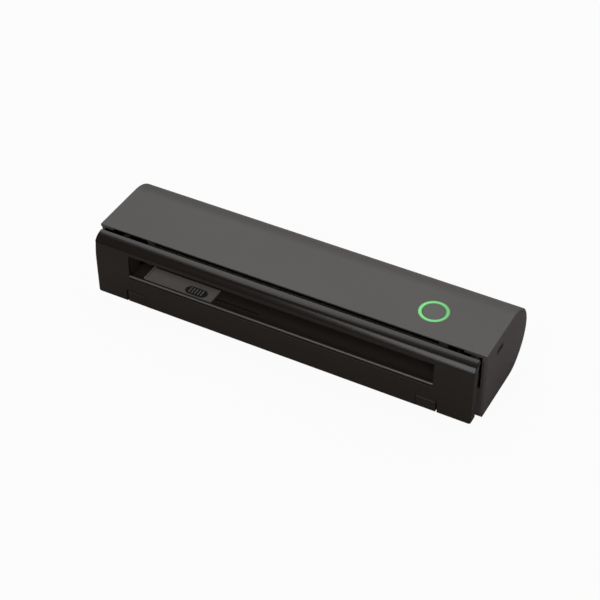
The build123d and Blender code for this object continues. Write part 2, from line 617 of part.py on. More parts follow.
# ---------------------------------------------------------------- base housing
with BuildPart() as base_housing:
    half_shell((0, WAIST))
    slab((-HALF, HALF), (0, WALL), (FRONT_WALL_HEIGHT, WAIST), mode=Mode.SUBTRACT)
    slab((-HALF, RETURN_LEFT + SEAM), (0, WALL), (WALL, WAIST), mode=Mode.SUBTRACT)
    slab((RETURN_RIGHT - SEAM, HALF), (0, WALL), (WALL, WAIST), mode=Mode.SUBTRACT)
    for side in (-1, 1):
        tab = both(side, KNUCKLE_X - TAB_HALF - TAB_GAP, KNUCKLE_X + TAB_HALF + TAB_GAP)
        slab(tab, (0, WALL), (TAB_BOTTOM - TAB_GAP, TAB_TOP + TAB_GAP), mode=Mode.SUBTRACT)
        for rail in (PLATE_X - RAIL_GAP - RAIL_WIDTH, PLATE_OUTER + RAIL_GAP):
            slab(both(side, rail, rail + RAIL_WIDTH), (2 * WALL, RAIL_REAR), (WALL / 2, WALL + RAIL_HEIGHT))
    for place in POST_PLACES:
        post(place, BASE_POST_RADIUS, (WALL / 2, WAIST))
        post(place, SCREW_RADIUS + BASE_SCREW_BORE_GAP, (0, WAIST), mode=Mode.SUBTRACT)
        head_bore = BASE_SCREW_HEAD_RADIUS + BASE_SCREW_HEAD_GAP
        post(place, head_bore, (0, BASE_SCREW_RECESS), mode=Mode.SUBTRACT)
    for place in FOOT_PLACES:
        post(place, FOOT_RADIUS + FOOT_GAP, (0, FOOT_RECESS), mode=Mode.SUBTRACT)
finish(base_housing, "base_housing")

with BuildPart() as rubber_feet:
    for place in FOOT_PLACES:
        post(place, FOOT_RADIUS, (-FOOT_STAND, FOOT_RECESS))
    rims = rubber_feet.faces().sort_by(Axis.Z)[: len(FOOT_PLACES)]
    chamfer(rims.edges(), FOOT_CHAMFER)
finish(rubber_feet, "rubber_feet")

with BuildPart() as hinge_brackets:
    face = HINGE_DEPTH - KNUCKLE_RADIUS
    underside = COVER_BOTTOM
    top = HINGE_HEIGHT + KNUCKLE_RADIUS
    lower_end = (face, underside + COVER_EDGE_RADIUS)
    upper_end = (face, top - KNUCKLE_EDGE)
    arm_start = towards(HINGE_AXIS, KNUCKLE_RADIUS, math.degrees(math.asin(ARM_RISE / KNUCKLE_RADIUS)))
    for side in (-1, 1):
        bracket = both(side, KNUCKLE_INNER, KNUCKLE_OUTER)
        with BuildLine() as knuckle_line:
            Line((0, underside), (face + COVER_EDGE_RADIUS, underside))
            RadiusArc((face + COVER_EDGE_RADIUS, underside), lower_end, COVER_EDGE_RADIUS)
            Line(lower_end, upper_end)
            RadiusArc(upper_end, (face + KNUCKLE_EDGE, top), KNUCKLE_EDGE)
            Line((face + KNUCKLE_EDGE, top), (HINGE_DEPTH, top))
            RadiusArc((HINGE_DEPTH, top), arm_start, KNUCKLE_RADIUS)
            Line(arm_start, (0, underside + ARM_THICKNESS))
            Line((0, underside + ARM_THICKNESS), (0, underside))
        with BuildSketch(section(min(bracket))) as knuckle_section:
            make_face(knuckle_line.edges())
        extrude(knuckle_section.sketch, amount=KNUCKLE_WIDTH)
        slab(both(side, KNUCKLE_X - TAB_HALF, KNUCKLE_X + TAB_HALF), (-1, TAB_LENGTH), (TAB_BOTTOM, TAB_TOP))
        rod(bracket, HINGE_AXIS, HINGE_PIN_RADIUS + RUNNING_FIT, mode=Mode.SUBTRACT)
finish(hinge_brackets, "hinge_brackets")

with BuildPart() as base_screws:
    for place in POST_PLACES:
        post(place, BASE_SCREW_HEAD_RADIUS, (BASE_SCREW_RECESS - BASE_SCREW_HEAD, BASE_SCREW_RECESS))
        post(place, SCREW_RADIUS, (BASE_SCREW_RECESS, WAIST + BASE_SCREW_GRIP))
        slot_length, slot_width, slot_depth = BASE_SCREW_SLOT
        slot_xs = (place[0] - slot_length / 2, place[0] + slot_length / 2)
        slot_depths = (place[1] - slot_width / 2, place[1] + slot_width / 2)
        slot_top = BASE_SCREW_RECESS - BASE_SCREW_HEAD + slot_depth
        slab(slot_xs, slot_depths, (0, slot_top), mode=Mode.SUBTRACT)
finish(base_screws, "base_screws")


# ---------------------------------------------------------------- end caps
def end_cap(side, return_inner):
    """A D-shaped end plate inside the shell, with a front return that has a rounded upright edge."""
    gap = WALL + SEAM
    plate = both(side, HALF - CAP_THICKNESS, HALF)
    with BuildSketch(section(min(plate))) as profile:
        body_outline(gap)
        rectangle((0, 2 * gap), (gap, BODY_HEIGHT - gap))
    extrude(profile.sketch, amount=CAP_THICKNESS)
    slab((return_inner, side * HALF), (0, WALL), (gap, BODY_HEIGHT - gap))
    opening = (return_inner, side * (HALF - CORNER_STRIP))
    slab(opening, (0, WALL), (FRONT_WALL_HEIGHT, BODY_HEIGHT - gap), mode=Mode.SUBTRACT)


def outer_corner(builder, side):
    """The upright edge where an end cap turns from the end to the front."""
    uprights = builder.edges().filter_by(Axis.Z)
    return uprights.sort_by(lambda edge: side * edge.center().X - edge.center().Y)[-1]


with BuildPart() as left_end_cap:
    end_cap(-1, RETURN_LEFT)
    fillet(outer_corner(left_end_cap, -1), CORNER_RADIUS)
finish(left_end_cap, "left_end_cap")

SOCKET_CENTRE = (SOCKET_DEPTH, BOARD_TOP + SOCKET_HEIGHT / 2)
with BuildPart() as right_end_cap:
    end_cap(1, RETURN_RIGHT)
    fillet(outer_corner(right_end_cap, 1), CORNER_RADIUS)
    with BuildSketch(section(HALF)):
        with Locations(SOCKET_CENTRE):
            hole_width = SOCKET_WIDTH + 2 * SOCKET_HOLE_GAP
            hole_height = SOCKET_HEIGHT + 2 * SOCKET_HOLE_GAP
            RectangleRounded(hole_width, hole_height, SOCKET_CORNER + SOCKET_HOLE_GAP)
    extrude(amount=-CAP_THICKNESS, mode=Mode.SUBTRACT)
finish(right_end_cap, "right_end_cap")


# ---------------------------------------------------------------- cover
def cover_outline():
    """The cover's outer profile down to its bottom edge, closed along its back."""
    seam = (FACE + CAP_SEAM_SETBACK, CAP_SEAM_HEIGHT)
    front = (FACE + CAP_FRONT_SETBACK, CAP_FRONT_HEIGHT)
    rear = (CAP_REAR_DEPTH, CAP_REAR_HEIGHT)
    lean = (FACE + CAP_SEAM_SETBACK * 0.25, (COVER_STRAIGHT_TOP + CAP_SEAM_HEIGHT) / 2)
    slope = math.radians(CAP_FRONT_SLOPE)
    forward = (-math.cos(slope), -math.sin(slope))
    backward = (math.cos(slope), math.sin(slope))
    with BuildLine() as outline:
        Line((FACE, COVER_BOTTOM), (FACE, COVER_STRAIGHT_TOP))
        ThreePointArc((FACE, COVER_STRAIGHT_TOP), lean, seam)
        TangentArc(front, seam, tangent=forward)
        TangentArc(front, rear, tangent=backward)
        Line(rear, (CAP_REAR_DEPTH, COVER_BOTTOM))
        Line((CAP_REAR_DEPTH, COVER_BOTTOM), (FACE, COVER_BOTTOM))
    make_face(outline.edges())


with BuildPart() as front_cover:
    with BuildSketch(section(-COVER_HALF)) as cover_sketch:
        cover_outline()
        rectangle((FACE, FACE + COVER_END_DEPTH), (COVER_BOTTOM, CAP_SEAM_HEIGHT), mode=Mode.INTERSECT)
    extrude(amount=2 * COVER_HALF)
    fillet(front_cover.edges().filter_by(Axis.Y).group_by(Axis.Z)[0], COVER_CORNER_RADIUS)
    front_uprights = front_cover.edges().filter_by(Axis.Z).group_by(Axis.Y)[0]
    fillet(front_uprights, COVER_EDGE_RADIUS)
    inside = COVER_HALF - COVER_WALL
    slab((-inside, inside), (PANEL_REAR, COVER_END_DEPTH), (0, BODY_HEIGHT), mode=Mode.SUBTRACT)
    with BuildSketch(upright(FACE - 1)):
        rectangle((-TROUGH_HALF, TROUGH_HALF), (MOUTH_BOTTOM, MOUTH_TOP))
    extrude(amount=-(COVER_WALL + 2), mode=Mode.SUBTRACT)
    mouth_width = 2 * TROUGH_HALF
    mouth_edges = front_cover.edges().filter_by(lambda edge: abs(edge.length - mouth_width) < SEAM)
    front_edges = mouth_edges.sort_by(Axis.Y)[:2].sort_by(Axis.Z)
    fillet(front_edges[1], MOUTH_TOP_RADIUS)
    front_edges = front_cover.edges().filter_by(lambda edge: abs(edge.length - mouth_width) < SEAM)
    fillet(front_edges.sort_by(Axis.Y)[:1], MOUTH_BOTTOM_RADIUS)
    for side in (-1, 1):
        slab(both(side, NOTCH_INNER, NOTCH_OUTER), (FACE - 1, PANEL_REAR), (0, NOTCH_TOP), mode=Mode.SUBTRACT)
finish(front_cover, "front_cover")

with BuildPart() as hinge_lugs:
    lug_heights = (HINGE_HEIGHT - LUG_RADIUS, HINGE_HEIGHT + LUG_RADIUS)
    for side in (-1, 1):
        for near in (NOTCH_INNER - LUG_WIDTH, NOTCH_OUTER):
            lug = both(side, near, near + LUG_WIDTH)
            slab(lug, (PANEL_REAR, HINGE_DEPTH), lug_heights)
            rod(lug, HINGE_AXIS, LUG_RADIUS)
            slab(lug, (FACE, PANEL_REAR), (0, BODY_HEIGHT), mode=Mode.SUBTRACT)
            rod(lug, HINGE_AXIS, HINGE_PIN_RADIUS + PRESS_GAP, mode=Mode.SUBTRACT)
finish(hinge_lugs, "hinge_lugs")

with BuildPart() as cover_cap:
    cap_bottom = CAP_SEAM_HEIGHT + SEAM
    with BuildSketch(section(-COVER_HALF)):
        cover_outline()
        rectangle((FACE, CAP_REAR_DEPTH), (cap_bottom, BODY_HEIGHT), mode=Mode.INTERSECT)
    extrude(amount=2 * COVER_HALF)
    inside = COVER_HALF - CAP_WALL
    with BuildSketch(section(-inside)) as cap_hollow:
        cover_outline()
        offset(amount=-CAP_WALL, kind=Kind.INTERSECTION)
        rectangle((FACE, 0), (cap_bottom, BODY_HEIGHT), mode=Mode.INTERSECT)
        rectangle((CAP_REAR_DEPTH - 2 * CAP_WALL, CAP_REAR_DEPTH), (cap_bottom, LIP_UNDER))
    extrude(amount=2 * inside, mode=Mode.SUBTRACT)
    for side in (-1, 1):
        end = both(side, inside - 1, COVER_HALF + 1)
        slab(end, (FACE + COVER_END_DEPTH, 0), (cap_bottom, LIP_UNDER), mode=Mode.SUBTRACT)
    corners = cover_cap.edges().filter_by(Axis.Z).group_by(Axis.Y)[-1]
    fillet(corners, CAP_CORNER_RADIUS)
    rear_top = cover_cap.faces().sort_by(Axis.Y)[-1].edges().sort_by(Axis.Z)[-1]
    fillet(rear_top, CAP_REAR_RADIUS)
finish(cover_cap, "cover_cap")

with BuildPart() as paper_trough:
    inner_floor = TROUGH_HALF - SEAM
    lip_front = FACE - LIP_PROUD
    web_front = lip_front + LIP_UNDERCUT
    web_rear = lip_front + LIP_THICKNESS
    behind_panel = PANEL_REAR + TROUGH_PANEL_GAP
    slab((-inner_floor, inner_floor), (lip_front, web_rear), (LIP_BOTTOM, LIP_TOP))
    lip_edges = paper_trough.edges().filter_by(Axis.X).group_by(Axis.Y)[0]
    fillet(lip_edges, LIP_RADIUS)
    floor_heights = (TROUGH_FLOOR_BOTTOM, TROUGH_FLOOR_TOP)
    slab((-inner_floor, inner_floor), (web_front, web_rear), (TROUGH_FLOOR_BOTTOM, LIP_TOP - LIP_RADIUS))
    slab((-inner_floor, inner_floor), (web_front, TROUGH_REAR_DEPTH), floor_heights)
    ceiling = (MOUTH_TOP + TROUGH_CEILING_GAP, MOUTH_TOP + TROUGH_CEILING_GAP + TROUGH_CEILING)
    slab((-EAR_OUTER, EAR_OUTER), (behind_panel, TROUGH_CEILING_REAR), ceiling)
    for side in (-1, 1):
        wall = both(side, TROUGH_HALF, EAR_OUTER)
        slab(wall, (behind_panel, 0), (TROUGH_FLOOR_BOTTOM, ceiling[1]))
        ear_heights = (PLATEN_HEIGHT - EAR_RADIUS, PLATEN_HEIGHT + EAR_RADIUS)
        slab(wall, (behind_panel, PLATEN_DEPTH), ear_heights)
        slab(both(side, inner_floor - 1, EAR_OUTER), (behind_panel, TROUGH_REAR_DEPTH), floor_heights)
        rod(wall, PLATEN_AXIS, EAR_RADIUS)
        rod(wall, PLATEN_AXIS, BUSH_RADIUS + PRESS_GAP, mode=Mode.SUBTRACT)
    runner_x = GUIDE_LEFT + GUIDE_LENGTH / 2
    slot_left = runner_x - RUNNER_LENGTH / 2 - GUIDE_TRAVEL_OUT - RUNNER_GAP
    slot_right = runner_x + RUNNER_LENGTH / 2 + GUIDE_TRAVEL_IN + RUNNER_GAP
    slot_depths = (RUNNER_DEPTH - RUNNER_GAP, RUNNER_DEPTH + RUNNER_WIDTH + RUNNER_GAP)
    slab((slot_left, slot_right), slot_depths, floor_heights, mode=Mode.SUBTRACT)
finish(paper_trough, "paper_trough")

with BuildPart() as hinge_pins:
    for side in (-1, 1):
        rod(both(side, NOTCH_INNER - LUG_WIDTH, NOTCH_OUTER + LUG_WIDTH), HINGE_AXIS, HINGE_PIN_RADIUS)
finish(hinge_pins, "hinge_pins")

# ---------------------------------------------------------------- sliding guide
with BuildPart() as paper_guide:
    guide_right = GUIDE_LEFT + GUIDE_LENGTH
    guide_depths = (GUIDE_FRONT, GUIDE_REAR)
    slab((GUIDE_LEFT, guide_right), guide_depths, (GUIDE_BOTTOM, GUIDE_TOP))
    slab((GUIDE_LEFT, GUIDE_LEFT + FENCE_WIDTH), guide_depths, (GUIDE_BOTTOM, GUIDE_TOP + FENCE_HEIGHT))
    tops = paper_guide.edges().group_by(Axis.Z)[-1]
    fillet(tops, GUIDE_EDGE_RADIUS)
    runner = (runner_x - RUNNER_LENGTH / 2, runner_x + RUNNER_LENGTH / 2)
    foot_top = TROUGH_FLOOR_BOTTOM - GUIDE_GAP
    runner_heights = (foot_top - RUNNER_FOOT, GUIDE_TOP - GUIDE_THICKNESS / 4)
    slab(runner, (RUNNER_DEPTH, RUNNER_DEPTH + RUNNER_WIDTH), runner_heights)
    foot_depths = (RUNNER_DEPTH - RUNNER_FLANGE, RUNNER_DEPTH + RUNNER_WIDTH + RUNNER_FLANGE)
    slab(runner, foot_depths, (foot_top - RUNNER_FOOT, foot_top))
finish(paper_guide, "paper_guide")

with BuildPart() as guide_pad:
    with BuildSketch(level(GUIDE_TOP)):
        with Locations((PAD_X, PAD_DEPTH)):
            SlotOverall(PAD_LENGTH, PAD_WIDTH)
    extrude(amount=PAD_THICKNESS)
    rib_step = (PAD_LENGTH - PAD_WIDTH) / (PAD_RIBS - 1)
    with BuildSketch(level(GUIDE_TOP + PAD_THICKNESS)):
        with Locations((PAD_X, PAD_DEPTH)):
            with GridLocations(rib_step, 0, PAD_RIBS, 1):
                SlotOverall(PAD_WIDTH - 2 * PAD_RIB_INSET, PAD_RIB_WIDTH, rotation=90)
    extrude(amount=PAD_RIB_HEIGHT)
finish(guide_pad, "guide_pad")

# ---------------------------------------------------------------- platen roller
with BuildPart() as platen_shaft:
    rod((SHAFT_LEFT, SHAFT_RIGHT), PLATEN_AXIS, SHAFT_RADIUS)
    chamfer(platen_shaft.edges().filter_by(GeomType.CIRCLE), 0.3)
finish(platen_shaft, "platen_shaft")

with BuildPart() as platen_roller:
    rod((-ROLLER_HALF, ROLLER_HALF), PLATEN_AXIS, PLATEN_RADIUS)
    chamfer(platen_roller.edges().filter_by(GeomType.CIRCLE), 0.4)
    rod((-ROLLER_HALF, ROLLER_HALF), PLATEN_AXIS, SHAFT_RADIUS + PRESS_GAP, mode=Mode.SUBTRACT)
finish(platen_roller, "platen_roller")

with BuildPart() as platen_bushes:
    for side in (-1, 1):
        rod(both(side, TROUGH_HALF, BUSH_END), PLATEN_AXIS, BUSH_RADIUS)
        rod(both(side, EAR_OUTER, EAR_OUTER + BUSH_FLANGE), PLATEN_AXIS, BUSH_FLANGE_RADIUS)
        rod(both(side, TROUGH_HALF, BUSH_END), PLATEN_AXIS, SHAFT_RADIUS + RUNNING_FIT, mode=Mode.SUBTRACT)
finish(platen_bushes, "platen_bushes")

with BuildPart() as platen_gear:
    gear_wheel(GEAR_A, PLATEN_AXIS, PLATEN_TEETH, DRAW_ANGLE)
    rod(GEAR_A, PLATEN_AXIS, SHAFT_RADIUS + PRESS_GAP, mode=Mode.SUBTRACT)
finish(platen_gear, "platen_gear")

# ---------------------------------------------------------------- gear train
with BuildPart() as idler_gear:
    gear_wheel(GEAR_A, IDLER_AXIS, IDLER_TEETH, IDLER_PHASE)
    rod(GEAR_A, IDLER_AXIS, POST_RADIUS + RUNNING_FIT, mode=Mode.SUBTRACT)
finish(idler_gear, "idler_gear")

with BuildPart() as reduction_gear:
    gear_wheel(GEAR_A, REDUCTION_AXIS, SMALL_WHEEL_TEETH, SMALL_PHASE)
    gear_wheel(GEAR_B, REDUCTION_AXIS, LARGE_WHEEL_TEETH, MOTOR_ANGLE)
    rod((GEAR_B[1], GEAR_A[0]), REDUCTION_AXIS, SHOULDER_RADIUS)
    rod((GEAR_B[0], GEAR_A[1]), REDUCTION_AXIS, POST_RADIUS + RUNNING_FIT, mode=Mode.SUBTRACT)
finish(reduction_gear, "reduction_gear")


def gear_post(axis, gear_end):
    """A shouldered post riveted through the left side plate, grooved for its clip past the gear."""
    groove = gear_end - 2 * RUNNING_FIT
    rod((groove - CLIP_THICKNESS - 0.4, -PLATE_X), axis, POST_RADIUS)
    rod((GEAR_A[1] + 2 * RUNNING_FIT, -PLATE_OUTER), axis, SHOULDER_RADIUS)
    with BuildSketch(section(groove - CLIP_THICKNESS)) as ring:
        with Locations(axis):
            Circle(POST_RADIUS)
            Circle(GROOVE_RADIUS, mode=Mode.SUBTRACT)
    extrude(ring.sketch, amount=CLIP_THICKNESS, mode=Mode.SUBTRACT)


with BuildPart() as idler_post:
    gear_post(IDLER_AXIS, GEAR_A[0])
finish(idler_post, "idler_post")

with BuildPart() as reduction_post:
    gear_post(REDUCTION_AXIS, GEAR_B[0])
finish(reduction_post, "reduction_post")

with BuildPart() as gear_clips:
    for axis, gear_end in ((IDLER_AXIS, GEAR_A[0]), (REDUCTION_AXIS, GEAR_B[0])):
        clip_end = gear_end - 2 * RUNNING_FIT - CLIP_THICKNESS
        with BuildSketch(section(clip_end + PRESS_GAP)):
            with Locations(axis):
                Circle(CLIP_RADIUS)
                Circle(GROOVE_RADIUS + PRESS_GAP, mode=Mode.SUBTRACT)
                with Locations((CLIP_RADIUS, 0)):
                    Rectangle(2 * CLIP_RADIUS, 1.5 * GROOVE_RADIUS, mode=Mode.SUBTRACT)
        extrude(amount=CLIP_THICKNESS - 2 * PRESS_GAP)
finish(gear_clips, "gear_clips")

with BuildPart() as stepper_motor:
    rod((-PLATE_X, -PLATE_X + MOTOR_LENGTH), MOTOR_AXIS, MOTOR_RADIUS)
    rod((-PLATE_OUTER - 0.4, -PLATE_X), MOTOR_AXIS, MOTOR_BOSS_RADIUS)
    with BuildSketch(section(-PLATE_X)):
        with Locations(MOTOR_AXIS):
            SlotCenterToCenter(2 * MOTOR_EAR_REACH, 2 * MOTOR_EAR_RADIUS, rotation=MOTOR_EAR_ANGLE)
    extrude(amount=MOTOR_EAR_THICKNESS)
    for place in MOTOR_SCREWS:
        ear = (-PLATE_X, -PLATE_X + MOTOR_EAR_THICKNESS)
        rod(ear, place, SCREW_RADIUS + SCREW_HOLE_GAP, mode=Mode.SUBTRACT)
    shaft_inner = -PLATE_X + MOTOR_LENGTH - MOTOR_BEARING_WALL
    shaft_bore = (-PLATE_OUTER - WALL / 2, shaft_inner + MOTOR_SHAFT_RADIUS / 2)
    rod(shaft_bore, MOTOR_AXIS, MOTOR_SHAFT_RADIUS + RUNNING_FIT, mode=Mode.SUBTRACT)
finish(stepper_motor, "stepper_motor")

with BuildPart() as motor_shaft:
    rod((GEAR_B[0] - 0.4, shaft_inner), MOTOR_AXIS, MOTOR_SHAFT_RADIUS)
finish(motor_shaft, "motor_shaft")

with BuildPart() as motor_pinion:
    gear_wheel(GEAR_B, MOTOR_AXIS, PINION_TEETH, PINION_PHASE)
    rod(GEAR_B, MOTOR_AXIS, MOTOR_SHAFT_RADIUS + PRESS_GAP, mode=Mode.SUBTRACT)
finish(motor_pinion, "motor_pinion")

with BuildPart() as motor_screws:
    for place in MOTOR_SCREWS:
        rod((-PLATE_OUTER - SCREW_HEAD, -PLATE_OUTER), place, SCREW_HEAD_RADIUS)
        rod((-PLATE_OUTER, -PLATE_X + MOTOR_EAR_THICKNESS + SCREW_TIP), place, SCREW_RADIUS)
finish(motor_screws, "motor_screws")


# ---------------------------------------------------------------- steel frame
def bush_notch():
    """The notch in a side plate that the roller's bush drops into, open towards the front."""
    notch = BUSH_RADIUS + NOTCH_CLEARANCE
    with Locations(PLATEN_AXIS):
        Circle(notch, mode=Mode.SUBTRACT)
    way = towards(PLATEN_AXIS, 3 * notch / 2, DRAW_ANGLE + 180)
    with Locations(way):
        Rectangle(3 * notch, 2 * notch, rotation=DRAW_ANGLE, mode=Mode.SUBTRACT)


def plate_holes(places, gap):
    """Round holes for the beam's screws and the print head's pin."""
    with Locations(*places):
        Circle(SCREW_RADIUS + gap, mode=Mode.SUBTRACT)
    with Locations(PIVOT_AXIS):
        Circle(PIVOT_RADIUS + PRESS_GAP, mode=Mode.SUBTRACT)


with BuildPart() as left_side_plate:
    with BuildSketch(section(-PLATE_OUTER)):
        body_outline(WALL + 2 * RAIL_GAP)
        rectangle((PLATE_FRONT, BODY_DEPTH), (0, PLATE_TOP), mode=Mode.INTERSECT)
        rectangle((PLATE_FRONT, RAIL_REAR), (WALL, 2 * WALL))
        bush_notch()
        plate_holes(BEAM_SCREWS + MOTOR_SCREWS, SCREW_HOLE_GAP)
        with Locations(IDLER_AXIS, REDUCTION_AXIS):
            Circle(POST_RADIUS + PRESS_GAP, mode=Mode.SUBTRACT)
        with Locations(MOTOR_AXIS):
            Circle(MOTOR_BOSS_RADIUS + SCREW_HOLE_GAP, mode=Mode.SUBTRACT)
    extrude(amount=PLATE_THICKNESS)
finish(left_side_plate, "left_side_plate")

with BuildPart() as right_side_plate:
    with BuildSketch(section(PLATE_X)):
        rectangle((PLATE_FRONT, PLATE_FRONT + RIGHT_PLATE_FRONT_LENGTH), (WALL, RIGHT_PLATE_TOP))
        rectangle((PLATE_FRONT, RIGHT_PLATE_REAR), (WALL, BOARD_BOTTOM - RIGHT_PLATE_GAP))
        bush_notch()
        plate_holes(BEAM_SCREWS, SCREW_HOLE_GAP)
    extrude(amount=PLATE_THICKNESS)
finish(right_side_plate, "right_side_plate")

with BuildPart() as spring_beam:
    beam_half = PLATE_X - PRESS_GAP
    slab((-beam_half, beam_half), (BEAM_DEPTH, BEAM_DEPTH + BEAM_THICKNESS), (BEAM_BOTTOM, BEAM_TOP))
    for side in (-1, 1):
        flange = both(side, beam_half - BEAM_THICKNESS, beam_half)
        slab(flange, (BEAM_DEPTH, BEAM_DEPTH + BEAM_FLANGE), (BEAM_BOTTOM, BEAM_TOP))
        for place in BEAM_SCREWS:
            rod(flange, place, SCREW_RADIUS + SCREW_HOLE_GAP, mode=Mode.SUBTRACT)
    with BuildSketch(upright(BEAM_DEPTH)):
        with Locations((0, SPRING_HEIGHT)):
            with GridLocations(SPRING_SPACING, 0, 3, 1):
                Circle(SPRING_PEG_RADIUS)
    extrude(amount=SPRING_PEG)
finish(spring_beam, "spring_beam")

with BuildPart() as chassis_screws:
    for side in (-1, 1):
        for place in BEAM_SCREWS:
            rod(both(side, PLATE_OUTER, PLATE_OUTER + SCREW_HEAD), place, SCREW_HEAD_RADIUS)
            rod(both(side, beam_half - BEAM_THICKNESS - SCREW_TIP, PLATE_OUTER), place, SCREW_RADIUS)
finish(chassis_screws, "chassis_screws")

# ---------------------------------------------------------------- print head
with BuildPart() as head_ceramic:
    slab((-HEAD_HALF, HEAD_HALF), (HEAD_FACE, HEATSINK_FRONT), (CERAMIC_BOTTOM, HEATSINK_TOP))
finish(head_ceramic, "head_ceramic")

with BuildPart() as head_heatsink:
    slab((-HEAD_HALF, HEAD_HALF), (HEATSINK_FRONT, HEATSINK_REAR), (HEATSINK_BOTTOM, HEATSINK_TOP))
    for side in (-1, 1):
        lug = both(side, HEAD_HALF - PIVOT_LUG_WIDTH, HEAD_HALF)
        rod(lug, PIVOT_AXIS, PIVOT_LUG_RADIUS)
        lug_depths = (PIVOT_DEPTH - PIVOT_LUG_RADIUS + 0.3, PIVOT_DEPTH + PIVOT_LUG_RADIUS - 0.4)
        slab(lug, lug_depths, (PIVOT_HEIGHT, HEATSINK_BOTTOM))
        rod(lug, PIVOT_AXIS, PIVOT_RADIUS + RUNNING_FIT, mode=Mode.SUBTRACT)
finish(head_heatsink, "head_heatsink")

with BuildPart() as head_driver_cover:
    cover_half = HEAD_HALF - DRIVER_COVER_SETBACK
    driver_depths = (HEAD_FACE - DRIVER_COVER_THICKNESS, HEAD_FACE)
    slab((-cover_half, cover_half), driver_depths, (HEATSINK_TOP - DRIVER_COVER_HEIGHT, HEATSINK_TOP))
    fillet(head_driver_cover.edges().filter_by(Axis.X).group_by(Axis.Y)[0], 0.4)
finish(head_driver_cover, "head_driver_cover")

with BuildPart() as head_connector:
    connector_xs = (HEAD_CONNECTOR_LEFT, HEAD_CONNECTOR_LEFT + HEAD_CONNECTOR_LENGTH)
    connector_rear = HEATSINK_REAR + HEAD_CONNECTOR_DEPTH
    connector_bottom = HEATSINK_TOP - HEAD_CONNECTOR_HEIGHT
    connector_middle = HEATSINK_TOP - HEAD_CONNECTOR_HEIGHT / 2
    slab(connector_xs, (HEATSINK_REAR, connector_rear), (connector_bottom, HEATSINK_TOP))
    half_slot = CABLE_THICKNESS / 2 + PRESS_GAP
    cable_slot = (connector_middle - half_slot, connector_middle + half_slot)
    cable_slot_xs = (connector_xs[0] + CABLE_SIDE, connector_xs[1] - CABLE_SIDE)
    slab(cable_slot_xs, (connector_rear - CABLE_GRIP, connector_rear), cable_slot, mode=Mode.SUBTRACT)
finish(head_connector, "head_connector")

with BuildPart() as head_pivot_pin:
    rod((-PLATE_OUTER - PIVOT_PIN_END, PLATE_OUTER + PIVOT_PIN_END), PIVOT_AXIS, PIVOT_RADIUS)
finish(head_pivot_pin, "head_pivot_pin")

with BuildPart() as head_springs:
    spring_length = BEAM_DEPTH - HEATSINK_REAR - 2 * SPRING_WIRE_RADIUS
    for place in (-SPRING_SPACING, 0, SPRING_SPACING):
        coil_plane = Plane(
            origin=(place, BODY_FRONT + HEATSINK_REAR + SPRING_WIRE_RADIUS, FOOT_STAND + SPRING_HEIGHT),
            x_dir=(1, 0, 0),
            z_dir=(0, 1, 0),
        )
        coil_radius = SPRING_RADIUS - SPRING_WIRE_RADIUS
        coil = coil_plane * Helix(SPRING_PITCH, spring_length, coil_radius, mode=Mode.PRIVATE)
        with BuildSketch(Plane(origin=coil @ 0, z_dir=coil % 0)):
            Circle(SPRING_WIRE_RADIUS)
        sweep(path=coil, is_frenet=True)
finish(head_springs, "head_springs")

# ---------------------------------------------------------------- paper path
with BuildPart() as paper_chute:
    chute_centre = (CHUTE_CENTRE_DEPTH, CHUTE_CENTRE_HEIGHT)
    chute_sweep = CHUTE_END_ANGLE - CHUTE_START_ANGLE
    chute_outer = CHUTE_RADIUS + CHUTE_WALL
    with BuildSketch(section(-HEAD_HALF)):
        with BuildLine():
            inner = CenterArc(chute_centre, CHUTE_RADIUS, CHUTE_START_ANGLE, chute_sweep)
            outer = CenterArc(chute_centre, chute_outer, CHUTE_START_ANGLE, chute_sweep)
            Line(inner @ 0, outer @ 0)
            Line(inner @ 1, outer @ 1)
        make_face()
        rectangle((CHUTE_WEB_DEPTH, CHUTE_WEB_DEPTH + CHUTE_WALL), (WALL, CHUTE_WEB_TOP))
    extrude(amount=2 * HEAD_HALF)
    window = (SENSOR_X - WINDOW_LENGTH / 2, SENSOR_X + WINDOW_LENGTH / 2)
    web_rear_face = CHUTE_WEB_DEPTH + CHUTE_WALL
    window_depths = (web_rear_face + WINDOW_DEPTHS[0], web_rear_face + WINDOW_DEPTHS[1])
    slab(window, window_depths, (CHUTE_WEB_TOP - WINDOW_DROP, CHUTE_CENTRE_HEIGHT), mode=Mode.SUBTRACT)
finish(paper_chute, "paper_chute")

with BuildPart() as paper_sensor:
    sensor_xs = (SENSOR_X - SENSOR_LENGTH / 2, SENSOR_X + SENSOR_LENGTH / 2)
    sensor_top = CHUTE_WEB_TOP - SENSOR_TOP
    slab(sensor_xs, (web_rear_face, web_rear_face + SENSOR_DEPTH), (sensor_top - SENSOR_HEIGHT, sensor_top))
finish(paper_sensor, "paper_sensor")

# ---------------------------------------------------------------- main board
with BuildPart() as main_board:
    slab((BOARD_LEFT, BOARD_RIGHT), (BOARD_FRONT, BOARD_REAR), (BOARD_BOTTOM, BOARD_TOP))
    slab((BOARD_TAB_LEFT, BOARD_RIGHT), (BOARD_TAB_FRONT, BOARD_FRONT), (BOARD_BOTTOM, BOARD_TOP))
    for place in POST_PLACES:
        post(place, TOP_POST_RADIUS + BOARD_POST_GAP, (BOARD_BOTTOM, BOARD_TOP), mode=Mode.SUBTRACT)
    for place in BOARD_POSTS:
        post(place, SCREW_RADIUS + SCREW_HOLE_GAP, (BOARD_BOTTOM, BOARD_TOP), mode=Mode.SUBTRACT)
finish(main_board, "main_board")

with BuildPart() as board_screws:
    for place in BOARD_POSTS:
        post(place, SCREW_HEAD_RADIUS, (BOARD_BOTTOM - SCREW_HEAD, BOARD_BOTTOM))
        post(place, SCREW_RADIUS, (BOARD_BOTTOM, BOARD_TOP + BOARD_SCREW_GRIP))
finish(board_screws, "board_screws")

